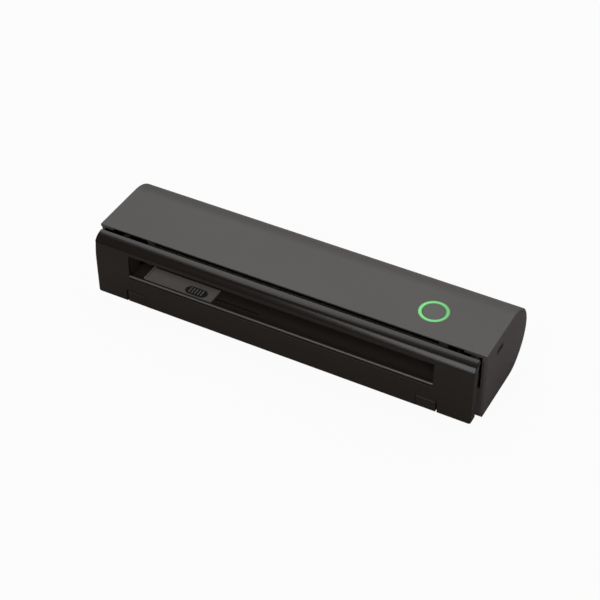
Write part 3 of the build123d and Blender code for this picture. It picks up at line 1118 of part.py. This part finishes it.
with BuildPart() as board_chips:
    with BuildSketch(level(BOARD_TOP)):
        for chip_x, chip_depth, chip_side in BOARD_CHIPS:
            with Locations((chip_x, chip_depth)):
                Rectangle(chip_side, chip_side)
    extrude(amount=CHIP_HEIGHT)
    connector_depths = (BOARD_CONNECTOR_FRONT, BOARD_CONNECTOR_FRONT + BOARD_CONNECTOR_DEPTH)
    slab(connector_xs, connector_depths, (BOARD_TOP, BOARD_TOP + BOARD_CONNECTOR_HEIGHT))
    board_slot_middle = BOARD_TOP + BOARD_CABLE_HEIGHT
    board_slot = (board_slot_middle - half_slot, board_slot_middle + half_slot)
    board_slot_depths = (BOARD_CONNECTOR_FRONT, BOARD_CONNECTOR_FRONT + CABLE_GRIP)
    slab(cable_slot_xs, board_slot_depths, board_slot, mode=Mode.SUBTRACT)
finish(board_chips, "board_chips")

with BuildPart() as head_flat_cable:
    cable_xs = (cable_slot_xs[0] + PRESS_GAP, cable_slot_xs[1] - PRESS_GAP)
    cable_start = connector_rear - CABLE_GRIP + CABLE_END_GAP
    cable_end = BOARD_CONNECTOR_FRONT + CABLE_GRIP - CABLE_END_GAP
    with BuildSketch(section(cable_xs[0])):
        with BuildLine() as cable_line:
            FilletPolyline(
                (cable_start, connector_middle),
                (connector_rear + CABLE_STRAIGHT, connector_middle),
                (BOARD_CONNECTOR_FRONT - CABLE_STRAIGHT, board_slot_middle),
                (cable_end, board_slot_middle),
                radius=CABLE_BEND,
            )
        trace(line_width=CABLE_THICKNESS)
    extrude(amount=cable_xs[1] - cable_xs[0])
finish(head_flat_cable, "head_flat_cable")

with BuildPart() as usb_port:
    socket_mouth = HALF - SOCKET_RECESS
    socket_back = socket_mouth - SOCKET_LENGTH
    with BuildSketch(section(socket_back)):
        with Locations(SOCKET_CENTRE):
            RectangleRounded(SOCKET_WIDTH, SOCKET_HEIGHT, SOCKET_CORNER)
    extrude(amount=SOCKET_LENGTH)
    with BuildSketch(section(socket_mouth)):
        with Locations(SOCKET_CENTRE):
            inner_corner = SOCKET_CORNER - SOCKET_SHELL
            RectangleRounded(SOCKET_WIDTH - 2 * SOCKET_SHELL, SOCKET_HEIGHT - 2 * SOCKET_SHELL, inner_corner)
    extrude(amount=-(SOCKET_LENGTH - SOCKET_BACK_WALL), mode=Mode.SUBTRACT)
    with BuildSketch(section(socket_back)):
        with Locations(SOCKET_CENTRE):
            Rectangle(TONGUE_WIDTH, TONGUE_THICKNESS)
    extrude(amount=SOCKET_LENGTH - TONGUE_SETBACK)
finish(usb_port, "usb_port")

# ---------------------------------------------------------------- power button
with BuildPart() as switch_body:
    switch_top = BOARD_TOP + SWITCH_HEIGHT
    with BuildSketch(level(BOARD_TOP)):
        with Locations(BUTTON_PLACE):
            Rectangle(SWITCH_WIDTH, SWITCH_WIDTH)
    extrude(amount=SWITCH_HEIGHT)
    bore_bottom = switch_top - PLUNGER_BORE
    post(BUTTON_PLACE, PLUNGER_RADIUS + RUNNING_FIT, (bore_bottom, switch_top), mode=Mode.SUBTRACT)
finish(switch_body, "switch_body")

with BuildPart() as switch_plunger:
    plunger_bottom = bore_bottom + BUTTON_TRAVEL + RUNNING_FIT
    post(BUTTON_PLACE, PLUNGER_RADIUS, (plunger_bottom, STEM_BOTTOM))
finish(switch_plunger, "switch_plunger")

with BuildPart() as power_button:
    post(BUTTON_PLACE, BUTTON_RADIUS, (BUTTON_BOTTOM, BODY_HEIGHT))
    fillet(power_button.edges().group_by(Axis.Z)[-1], EDGE_RADIUS)
    post(BUTTON_PLACE, BUTTON_FLANGE_RADIUS, (BUTTON_BOTTOM, BUTTON_BOTTOM + BUTTON_FLANGE))
    post(BUTTON_PLACE, 2 * PLUNGER_RADIUS, (STEM_BOTTOM, BUTTON_BOTTOM))
finish(power_button, "power_button")

LED_PLACES = [
    (BUTTON_X - LIGHT_LEG_REACH, BUTTON_DEPTH),
    (BUTTON_X + LIGHT_LEG_REACH, BUTTON_DEPTH),
    (BUTTON_X, BUTTON_DEPTH + LIGHT_LEG_REACH),
]
with BuildPart() as status_leds:
    with BuildSketch(level(BOARD_TOP)):
        with Locations(*LED_PLACES):
            Rectangle(LIGHT_LEG_WIDTH, LIGHT_LEG_WIDTH)
    extrude(amount=LED_HEIGHT)
finish(status_leds, "status_leds")

with BuildPart() as light_ring:
    post(BUTTON_PLACE, RING_RADIUS, (RING_BOTTOM, BODY_HEIGHT))
    flange_top = TOP_INSIDE - RING_HOLE_GAP
    post(BUTTON_PLACE, RING_FLANGE_RADIUS, (flange_top - RING_FLANGE, flange_top))
    post(BUTTON_PLACE, BUTTON_RADIUS + BUTTON_GAP, (RING_BOTTOM, BODY_HEIGHT), mode=Mode.SUBTRACT)
    leg_bottom = BOARD_TOP + LED_HEIGHT + LED_GAP
    with BuildSketch(level(leg_bottom)):
        with Locations(*LED_PLACES):
            Rectangle(LIGHT_LEG_WIDTH, LIGHT_LEG_WIDTH)
    extrude(amount=flange_top - RING_FLANGE / 2 - leg_bottom)
finish(light_ring, "light_ring")

# ---------------------------------------------------------------- battery
with BuildPart() as battery_tray:
    tray_front = CELL_DEPTH - CELL_RADIUS - CELL_GAP - TRAY_WALL
    tray_rear = CELL_DEPTH + CELL_RADIUS + CELL_GAP + TRAY_WALL
    with BuildSketch(section(TRAY_LEFT)):
        body_outline(WALL + 2 * CELL_GAP)
        rectangle((tray_front, tray_rear), (0, CELL_HEIGHT), mode=Mode.INTERSECT)
        rectangle((tray_front, TRAY_FOOT_REAR), (WALL, 2 * WALL))
    extrude(amount=TRAY_RIGHT - TRAY_LEFT)
    cell_space = (TRAY_LEFT + TRAY_WALL, TRAY_RIGHT - TRAY_WALL)
    rod(cell_space, CELL_AXIS, CELL_RADIUS + CELL_GAP, mode=Mode.SUBTRACT)
finish(battery_tray, "battery_tray")

for label, start in (("battery_cell_left", CELL_1), ("battery_cell_right", CELL_2)):
    with BuildPart() as battery_cell:
        rod((start, start + CELL_LENGTH), CELL_AXIS, CELL_RADIUS)
        fillet(battery_cell.edges().filter_by(GeomType.CIRCLE), CELL_EDGE_RADIUS)
    finish(battery_cell, label)

with BuildPart() as battery_contacts:
    for start in (CELL_1 - RUNNING_FIT, CELL_2 - RUNNING_FIT, CELL_2 + CELL_LENGTH + SPACER - RUNNING_FIT):
        contact = (start - CONTACT_THICKNESS, start)
        rod(contact, CELL_AXIS, CELL_RADIUS / 2)
finish(battery_contacts, "battery_contacts")
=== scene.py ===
# %% [markdown]
# # A portable thermal printer for A4 sheets
# The printer is a slim bar with a flat top and a round back. A darker cover stands in front of it, with a
# long mouth for the sheet, and turns on two hinge knuckles in its bottom edge. The solids come from the
# CAD model, which is already right in shape and size, so this lesson is about finishes, light and camera.

# %% Load the model
import json
import math

import bpy
from mathutils import Matrix, Quaternion, Vector

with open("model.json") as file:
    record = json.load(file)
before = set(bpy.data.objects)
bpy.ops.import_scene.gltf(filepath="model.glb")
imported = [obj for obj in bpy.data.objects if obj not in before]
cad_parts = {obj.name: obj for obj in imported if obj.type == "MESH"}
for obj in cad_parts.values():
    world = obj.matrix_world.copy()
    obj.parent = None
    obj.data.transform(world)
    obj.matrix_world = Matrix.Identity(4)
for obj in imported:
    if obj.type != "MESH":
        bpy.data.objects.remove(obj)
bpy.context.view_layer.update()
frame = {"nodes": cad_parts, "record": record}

# %% [markdown]
# ## Helpers for every finish
# Paint charts and screens give a colour as an sRGB hex value, while a shader works with linear light, so
# one function turns one into the other. The second adds one node, sets what it is given and links its
# inputs. Two kinds of node are wanted often, one that mixes two colours and one that maps a range of
# values onto another, so each has a function too.

# %% Colour and node helpers
COLOUR_A, COLOUR_B, COLOUR_RESULT = 6, 7, 2  # the Mix node's colour sockets, whose names aren't unique


def linear(hex_colour):
    """An sRGB hex colour as linear red, green, blue and alpha."""
    parts = [int(hex_colour[i : i + 2], 16) / 255 for i in (1, 3, 5)]
    return [p / 12.92 if p <= 0.04045 else ((p + 0.055) / 1.055) ** 2.4 for p in parts] + [1.0]


def add(owner, kind, inputs=None, **settings):
    """Adds one node to a material or a world: inputs maps a socket to a value or to a node's output."""
    node = owner.node_tree.nodes.new(kind)
    for name, value in settings.items():
        setattr(node, name, value)
    for socket, value in (inputs or {}).items():
        if isinstance(value, bpy.types.NodeSocket):
            owner.node_tree.links.new(value, node.inputs[socket])
        else:
            node.inputs[socket].default_value = value
    return node


def blend(material, share, first, second):
    """Mixes two colours: a share of 0 is all the first and a share of 1 all the second."""
    inputs = {"Factor": share, COLOUR_A: first, COLOUR_B: second}
    return add(material, "ShaderNodeMix", inputs, data_type="RGBA").outputs[COLOUR_RESULT]


def remap(material, value, start, end, new_start=0.0, new_end=1.0):
    """Maps start to end onto new_start to new_end, and holds what lies outside at the nearer end."""
    inputs = {"Value": value, "From Min": start, "From Max": end, "To Min": new_start, "To Max": new_end}
    return add(material, "ShaderNodeMapRange", inputs).outputs["Result"]


print("mid grey is", round(linear("#808080")[0], 3), "in linear light")

# %% [markdown]
# ## How a moulded surface looks
# Nearly all that shows of this printer is injection-moulded plastic. The steel mould is spark-eroded,
# which leaves a fine sandy texture: grains of a few tenths of a millimetre that spread the highlight and
# hide flow marks. It could be sculpted, but a bump from noise is lighter and keeps its real size at any
# distance. The noise is read in object space, where one unit is a metre, so its scale is one over the
# grain's size. A second, slower noise varies the tone and the gloss a little, as handling and cooling do.

# %% A moulded plastic
MM = 0.001
CLOUD_MM = 60  # size of the slow unevenness
GLOSS_SPREAD = 0.04  # of the roughness, to either side


def moulded(name, tone, darker, roughness, grain_mm=0.35, depth_mm=0.012, specular=0.5):
    """A moulded plastic with a spark-eroded grain, slightly uneven in tone and gloss."""
    material = bpy.data.materials.new(name)
    material.use_nodes = True
    tree = material.node_tree
    place = add(material, "ShaderNodeTexCoord").outputs["Object"]
    cloud = add(
        material,
        "ShaderNodeTexNoise",
        {"Vector": place, "Scale": 1 / (CLOUD_MM * MM), "Detail": 3.0, "Roughness": 0.55},
    ).outputs["Fac"]
    grain = add(
        material,
        "ShaderNodeTexNoise",
        {"Vector": place, "Scale": 1 / (grain_mm * MM), "Detail": 2.0, "Roughness": 0.6},
    ).outputs["Fac"]
    mixed = blend(material, cloud, linear(tone), linear(darker))
    speckle = blend(material, grain, mixed, linear(darker))
    gloss = remap(material, cloud, 0.0, 1.0, roughness - GLOSS_SPREAD, roughness + GLOSS_SPREAD)
    relief = {"Height": grain, "Distance": depth_mm * MM, "Strength": 0.6}
    bump = add(material, "ShaderNodeBump", relief)
    shader = tree.nodes["Principled BSDF"]
    tree.links.new(speckle, shader.inputs["Base Color"])
    tree.links.new(gloss, shader.inputs["Roughness"])
    tree.links.new(bump.outputs["Normal"], shader.inputs["Normal"])
    shader.inputs["IOR"].default_value = 1.53
    shader.inputs["Specular IOR Level"].default_value = specular
    return material


abs_shell = moulded("ABS shell, spark-eroded", "#3d3b39", "#383634", 0.55)
abs_ends = moulded("ABS end caps, spark-eroded", "#464140", "#413b3a", 0.6, specular=0.3)
abs_cover = moulded("ABS cover, fine texture", "#201a16", "#1a1511", 0.5, 0.25, specular=0.2)
abs_cap = moulded("ABS cap strip, satin", "#14100d", "#110c0a", 0.19, 0.2, 0.003, 0.22)
abs_trough = moulded("ABS trough, matt", "#2e2926", "#292421", 0.42)
abs_guide = moulded("ABS sliding guide, satin", "#75726f", "#6e6b68", 0.42)
abs_pad = moulded("Grip pad, matt elastomer", "#161615", "#121211", 0.7, 0.3)
abs_button = moulded("ABS button, satin", "#3f413c", "#3b3d38", 0.45)
print("moulded plastics:", len([m for m in bpy.data.materials if m.name.startswith("ABS")]))

# %% [markdown]
# ## A painted highlight on the lip
# The sheet slides over the lip in the mouth's lower edge and leaves its top smoother than the moulding
# around it. That top also catches the light, so a paler tone is painted along it as a highlight. The tips
# of the grip pad's ribs go pale where they are rubbed. Both lie in known places of their pieces, so the
# finish is mixed by place: ahead of one plane, above another.


# %% Mix a pale tone in by place: the lip's painted highlight and the pad's worn ribs
def pale_wear_and_highlight(material, tone, roughness, above, ahead_of=None, soft=0.1 * MM):
    """Pales and smooths a moulded finish above a height, and ahead of a plane if one is given: a painted
    highlight on the lip, wear on the pad's ribs.
    """
    tree = material.node_tree
    shader = tree.nodes["Principled BSDF"]
    place = add(material, "ShaderNodeTexCoord").outputs["Object"]
    axes = add(material, "ShaderNodeSeparateXYZ", {"Vector": place})
    share = remap(material, axes.outputs["Z"], above - soft, above + soft)
    if ahead_of is not None:
        ahead = remap(material, axes.outputs["Y"], ahead_of + soft, ahead_of - soft)
        share = add(material, "ShaderNodeMath", {0: share, 1: ahead}, operation="MULTIPLY").outputs[0]
    colour = shader.inputs["Base Color"].links[0].from_socket
    rough = shader.inputs["Roughness"].links[0].from_socket
    pale = blend(material, share, colour, linear(tone))
    mixed = {"Factor": share, "A": rough, "B": roughness}
    smooth = add(material, "ShaderNodeMix", mixed, data_type="FLOAT")
    tree.links.new(pale, shader.inputs["Base Color"])
    tree.links.new(smooth.outputs["Result"], shader.inputs["Roughness"])


def corner(node, pick):
    """A piece's lowest or highest x, y and z in its own space."""
    points = frame["nodes"][node].bound_box
    return Vector([pick(point[axis] for point in points) for axis in range(3)])


lip_height = 2.4 * MM  # from the trough's underside
lip_highlight_height = 0.45 * MM  # of the lip, from its top down
lip_highlight_depth = 0.7 * MM  # and from its front edge back
rib_tip = 0.12 * MM  # pale top of each rib on the pad
lip_front = corner("paper_trough", min).y
lip_top = corner("paper_trough", min).z + lip_height
# The paler tone on the lip's top is a painted highlight along its rounded edge, where it catches the
# light.
pale_wear_and_highlight(abs_trough, "#5a5653", 0.35, lip_top - lip_highlight_height, lip_front + lip_highlight_depth)
pale_wear_and_highlight(abs_pad, "#6f6c69", 0.4, corner("guide_pad", max).z - rib_tip, soft=0.05 * MM)
print("lip's top at", round(lip_top / MM, 2), "mm")

# %% [markdown]
# ## Light pipe
# The ring round the button is a clear green-tinted moulding with small lamps under it. Real ones scatter
# the light with a milky filler, so the ring glows almost evenly. A glass shader would need the lamps
# themselves, so emission from the surface is simpler and shows the same. It needs two measures of a point
# on the ring: how far it is from the middle line between bore and rim, as a share of the ring's width, and
# how far it lies towards the ring's brighter side.

# %% Places on the ring
light_pipe = bpy.data.materials.new("Acrylic light pipe, milky green")
light_pipe.use_nodes = True
place = add(light_pipe, "ShaderNodeTexCoord").outputs["Object"]
ring_centre = (corner("light_ring", min) + corner("light_ring", max)) / 2
bore_radius = 7.4 * MM
rim_radius = 9.67 * MM
bright_side = (-0.94, -0.34, 0.0)  # left and a little forward
from_centre = add(
    light_pipe, "ShaderNodeVectorMath", {0: place, 1: ring_centre}, operation="SUBTRACT"
).outputs[0]
flat = add(
    light_pipe, "ShaderNodeVectorMath", {0: from_centre, 1: (1.0, 1.0, 0.0)}, operation="MULTIPLY"
).outputs[0]
reach = add(light_pipe, "ShaderNodeVectorMath", {0: flat}, operation="LENGTH").outputs["Value"]
across = remap(light_pipe, reach, bore_radius, rim_radius)
middle = add(light_pipe, "ShaderNodeMath", {0: across, 1: 0.5}, operation="SUBTRACT").outputs[0]
off_middle = add(light_pipe, "ShaderNodeMath", {0: middle}, operation="ABSOLUTE").outputs[0]
sideways = add(
    light_pipe, "ShaderNodeVectorMath", {0: flat, 1: bright_side}, operation="DOT_PRODUCT"
).outputs["Value"]
towards_bright = remap(light_pipe, sideways, -rim_radius, rim_radius)
print("ring is", round((rim_radius - bore_radius) / MM, 2), "mm wide")

# %% [markdown]
# ## Glow of the ring
# Small lamps are seldom equally strong, so one side of a ring glows a little more than the other, and a
# slow noise stands for the unevenness of the filler. The dark plastic beside the ring swallows some light,
# so it is palest along its middle line and a deeper green at both edges. A texture could be painted for
# this, but the two measures follow the ring wherever it is moved.

# %% The glow
patch_mm = 9
side_weight = 0.6  # of the brighter side, against the patches
dim_below, bright_above = 0.2, 0.8  # of that mixture
dimmest, brightest = 0.34, 0.62
core_half = 0.12  # of the ring's width, palest to either side of the middle line
patches = add(
    light_pipe, "ShaderNodeTexNoise", {"Vector": place, "Scale": 1 / (patch_mm * MM), "Detail": 1.0}
).outputs["Fac"]
mixture = {"Factor": side_weight, "A": patches, "B": towards_bright}
uneven = add(light_pipe, "ShaderNodeMix", mixture, data_type="FLOAT").outputs["Result"]
glow = remap(light_pipe, uneven, dim_below, bright_above, dimmest, brightest)
core = remap(light_pipe, off_middle, core_half, 0.5, 1.0, 0.0)
tint = blend(light_pipe, core, linear("#43954f"), linear("#7fee8c"))
shader = light_pipe.node_tree.nodes["Principled BSDF"]
shader.inputs["Base Color"].default_value = linear("#2f7a3a")
shader.inputs["Roughness"].default_value = 0.3
light_pipe.node_tree.links.new(tint, shader.inputs["Emission Color"])
light_pipe.node_tree.links.new(glow, shader.inputs["Emission Strength"])
print("glow from", dimmest, "to", brightest)

# %% [markdown]
# ## Rubber
# The platen roller is ground silicone rubber and the feet are moulded. Ground rubber is matt and dark,
# with very fine rings round it. Here the grain is a noise a few tenths of a millimetre across.

# %% Rubbers
roller_rubber = moulded("Silicone rubber, ground", "#44413e", "#3c3a37", 0.75, 0.3, 0.02, 0.3)
foot_rubber = moulded("Rubber feet, moulded", "#202020", "#191919", 0.8, 0.4, 0.02, 0.3)
print("rubbers made")

# %% [markdown]
# ## Metals
# The frame inside is zinc-plated sheet, the shafts are ground bar, the heat sink is extruded aluminium
# and the pinion is brass. A metal's colour is its reflection, so metallic is 1. Rolling, drawing and
# grinding leave fine lines one way, and stretching a noise along that way draws them.

# %% A metal with a grain direction
LINE_MM = 0.15  # from line to line, about
LINE_DEPTH_MM = 0.002
SMOOTHER, ROUGHER = 0.06, 0.08  # what the lines take off the roughness, and add to it


def metal(name, tone, darker, roughness, stretch=(0.04, 1.0, 1.0)):
    """A metal with fine lines along its long direction."""
    material = bpy.data.materials.new(name)
    material.use_nodes = True
    tree = material.node_tree
    place = add(material, "ShaderNodeTexCoord").outputs["Object"]
    along = add(material, "ShaderNodeMapping", {"Vector": place, "Scale": stretch}).outputs["Vector"]
    lines = add(
        material, "ShaderNodeTexNoise", {"Vector": along, "Scale": 1 / (LINE_MM * MM), "Detail": 3.0}
    ).outputs["Fac"]
    tint = blend(material, lines, linear(tone), linear(darker))
    gloss = remap(material, lines, 0.0, 1.0, roughness - SMOOTHER, roughness + ROUGHER)
    bump = add(material, "ShaderNodeBump", {"Height": lines, "Distance": LINE_DEPTH_MM * MM})
    shader = tree.nodes["Principled BSDF"]
    shader.inputs["Metallic"].default_value = 1.0
    tree.links.new(tint, shader.inputs["Base Color"])
    tree.links.new(gloss, shader.inputs["Roughness"])
    tree.links.new(bump.outputs["Normal"], shader.inputs["Normal"])
    return material


zinc_sheet = metal("Steel sheet, zinc plated", "#c9c8c2", "#b2b1ac", 0.38, (1.0, 1.0, 0.05))
ground_bar = metal("Steel bar, ground", "#d2d2d2", "#bcbcbc", 0.22)
spring_wire = metal("Spring wire, drawn", "#b4b4b6", "#9c9c9e", 0.3)
black_screw = metal("Steel screw, black zinc", "#3a3a3a", "#2e2e2e", 0.4)
motor_can = metal("Steel can, nickel plated", "#bdbcb8", "#a9a8a4", 0.35)
pinion_brass = metal("Brass, turned", "#d8b25c", "#c19c4c", 0.28)
sink_aluminium = metal("Aluminium, extruded", "#d0d1d3", "#bdbec0", 0.4)
nickel_shell = metal("Steel shell, nickel plated", "#b8b8ba", "#a4a4a6", 0.26)
nickel_strip = metal("Nickel strip", "#c4c0b8", "#b0aca4", 0.3)
print("metals made")

# %% [markdown]
# ## Small parts inside
# The rest is hidden, or shows only through the mouth or with the cover open: black acetal gears, a glazed
# ceramic print head, a green circuit board and the wrapped battery cells. Each is moulded, glazed or
# coated, so the same moulded finish with its own colours and gloss serves them all.

# %% Other inner finishes
inner = {
    "acetal_black": moulded("Acetal, black", "#2a2a2a", "#222222", 0.4, 0.3, 0.004),
    "head_ceramic": moulded("Alumina, glazed", "#77716b", "#6c6660", 0.2, 0.5, 0.001),
    "epoxy_black": moulded("Epoxy potting, black", "#1c1c1c", "#161616", 0.25, 2.0, 0.02),
    "connector_plastic": moulded("Nylon connector, off-white", "#dbd7c9", "#cdc9bb", 0.45),
    "cable_film": moulded("Polyester flat cable", "#dccf9f", "#cdbf8e", 0.3, 1.0, 0.002),
    "circuit_board": moulded("Circuit board, solder mask", "#1f5a37", "#194c2e", 0.3, 0.8, 0.01),
    "chip_plastic": moulded("Epoxy chip package", "#232323", "#1b1b1b", 0.5, 0.2, 0.004),
    "cell_wrap": moulded("Shrink sleeve, blue", "#235f9c", "#1d5289", 0.3, 2.0, 0.01),
}
print("inner finishes:", len(inner))

# %% [markdown]
# ## Which finish goes where
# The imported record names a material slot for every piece, so one table from slot to finish dresses the
# whole model, and a piece that is added later in CAD is dressed too. The end caps, cover, cap strip and
# trough were given separate slots because each shows its own tone.

# %% Dress the pieces
finishes = {
    "shell_plastic": abs_shell,
    "end_plastic": abs_ends,
    "cover_plastic": abs_cover,
    "cap_plastic": abs_cap,
    "trough_plastic": abs_trough,
    "guide_plastic": abs_guide,
    "pad_plastic": abs_pad,
    "button_plastic": abs_button,
    "light_pipe": light_pipe,
    "black_rubber": roller_rubber,
    "foot_rubber": foot_rubber,
    "plated_steel": zinc_sheet,
    "bright_steel": ground_bar,
    "spring_steel": spring_wire,
    "screw_steel": black_screw,
    "motor_steel": motor_can,
    "pinion_brass": pinion_brass,
    "head_aluminium": sink_aluminium,
    "socket_steel": nickel_shell,
    "nickel_strip": nickel_strip,
    **inner,
}
for part in frame["record"]["subparts"]:
    solid = frame["nodes"][part["node"]]
    solid.data.materials.clear()
    solid.data.materials.append(finishes[part["material_slot"]])

# %% [markdown]
# ## Floor and backdrop
# The printer stands on a plain pale surface. A floor that renders pure white would lose the shadow, so
# for the camera most of its brightness is emission and a part is lit, which leaves a soft faint shadow.
# Other rays see an ordinary pale floor, which keeps the light on the object at a plain level.

# %% The floor
floor_half = 6.0  # metres
glowing_share = 0.95  # of the floor's brightness, for the camera
floor_mesh = bpy.data.meshes.new("floor")
floor_height = corner("rubber_feet", min).z
spots = [(-1, -1), (1, -1), (1, 1), (-1, 1)]
floor_corners = [(floor_half * x, floor_half * y, floor_height) for x, y in spots]
floor_mesh.from_pydata(floor_corners, [], [(0, 1, 2, 3)])
floor = bpy.data.objects.new("floor", floor_mesh)
bpy.context.scene.collection.objects.link(floor)
pale = bpy.data.materials.new("Pale studio floor")
pale.use_nodes = True
tree = pale.node_tree
camera_ray = add(pale, "ShaderNodeLightPath").outputs["Is Camera Ray"]
share = add(pale, "ShaderNodeMath", {0: camera_ray, 1: glowing_share}, operation="MULTIPLY").outputs[0]
white = add(pale, "ShaderNodeEmission", {"Color": linear("#ffffff"), "Strength": 1.0})
matt = add(pale, "ShaderNodeBsdfDiffuse", {"Color": linear("#a8a8a8")})
both = add(pale, "ShaderNodeMixShader", {0: share, 1: matt.outputs[0], 2: white.outputs[0]})
tree.links.new(both.outputs[0], tree.nodes["Material Output"].inputs["Surface"])
floor.data.materials.append(pale)
print("floor is", 2 * floor_half, "m wide")

# %% [markdown]
# ## World
# The walls of a studio send a little light back from all round. A picture of a real room could stand for
# them, but a plain dim colour, slightly warm, shows as much on matt plastic and leaves the shape to the
# lamps. For the camera the world is white instead, so that it meets the floor without an edge.

# %% The world
world = bpy.data.worlds.new("Pale studio")
bpy.context.scene.world = world
world.use_nodes = True
world.node_tree.nodes.clear()
camera_ray = add(world, "ShaderNodeLightPath").outputs["Is Camera Ray"]
room = add(world, "ShaderNodeBackground", {"Color": linear("#fff8f2"), "Strength": 0.3})
backdrop = add(world, "ShaderNodeBackground", {"Color": linear("#ffffff"), "Strength": 1.0})
seen = add(world, "ShaderNodeMixShader", {0: camera_ray, 1: room.outputs[0], 2: backdrop.outputs[0]})
add(world, "ShaderNodeOutputWorld", {"Surface": seen.outputs[0]})
print("room strength", room.inputs["Strength"].default_value)

# %% [markdown]
# ## Lamps
# Studio lamps are large and soft, so area lights stand for them rather than points, which would draw hard
# shadows. A wide panel overhead, to the left and behind, lights the flat top. A small one in front
# at the right lights the end and the cover's edge. A long narrow one in front, rolled to lie along the cap
# strip's mirror direction, draws the strip's highlight, and one behind keeps the round back as light as
# the top.


# %% The lamps
def panel(name, place, target, size, power, roll=0.0):
    """A soft rectangular panel light that faces a point, turned by roll degrees about its own axis."""
    lamp = bpy.data.lights.new(name, "AREA")
    lamp.shape = "RECTANGLE"
    lamp.size, lamp.size_y = size
    lamp.energy = power
    holder = bpy.data.objects.new(name, lamp)
    holder.location = place
    holder.rotation_mode = "QUATERNION"
    facing = (Vector(target) - Vector(place)).to_track_quat("-Z", "Y")
    holder.rotation_quaternion = facing @ Quaternion((0.0, 0.0, 1.0), math.radians(roll))
    bpy.context.scene.collection.objects.link(holder)
    return holder


overhead = panel("overhead panel", (-0.48, 0.58, 1.3), (0.0, 0.0, 0.03), (1.05, 0.95), 11.0)
side_panel = panel("right-hand panel", (0.85, -1.15, 0.42), (0.05, 0.0, 0.03), (0.5, 0.5), 4.5)
front_panel = panel("front panel", (-0.16, -0.99, 0.79), (0.115, 0.0, 0.04), (0.34, 0.95), 6.3, 22.0)
rear_panel = panel("rear panel", (0.4, 1.1, 0.75), (0.0, 0.05, 0.04), (0.6, 0.6), 5.4)
print("lamps:", [lamp.name for lamp in (overhead, side_panel, front_panel, rear_panel)])

# %% [markdown]
# ## Camera
# The printer is seen from its right-hand front, 41 degrees above the table, with a long lens that keeps
# its edges nearly parallel. A constraint that points it at the printer would lose its slight roll, so the
# place and the three angles are set as one matrix, whose columns are the camera's right, its up and its
# backward direction.

# %% The camera
camera_place = (0.37839, -0.69601, 0.70824)
azimuth, elevation, roll = math.radians(28.755), math.radians(40.975), math.radians(-0.605)
level = math.cos(elevation)
back = Vector((math.sin(azimuth) * level, -math.cos(azimuth) * level, math.sin(elevation)))
right = (-back).cross(Vector((0, 0, 1))).normalized()
up = right.cross(-back)
right, up = math.cos(roll) * right + math.sin(roll) * up, math.cos(roll) * up - math.sin(roll) * right
lens = bpy.data.cameras.new("camera")
lens.lens = 99.04
lens.sensor_width = 36.0
lens.clip_end = 50.0
camera = bpy.data.objects.new("camera", lens)
turn = Matrix((right, up, back)).transposed().to_4x4()
camera.matrix_world = Matrix.Translation(camera_place) @ turn
bpy.context.scene.collection.objects.link(camera)
bpy.context.scene.camera = camera
bpy.context.scene.view_settings.view_transform = "Standard"
print("camera", round(camera.location.length, 3), "m from the printer")
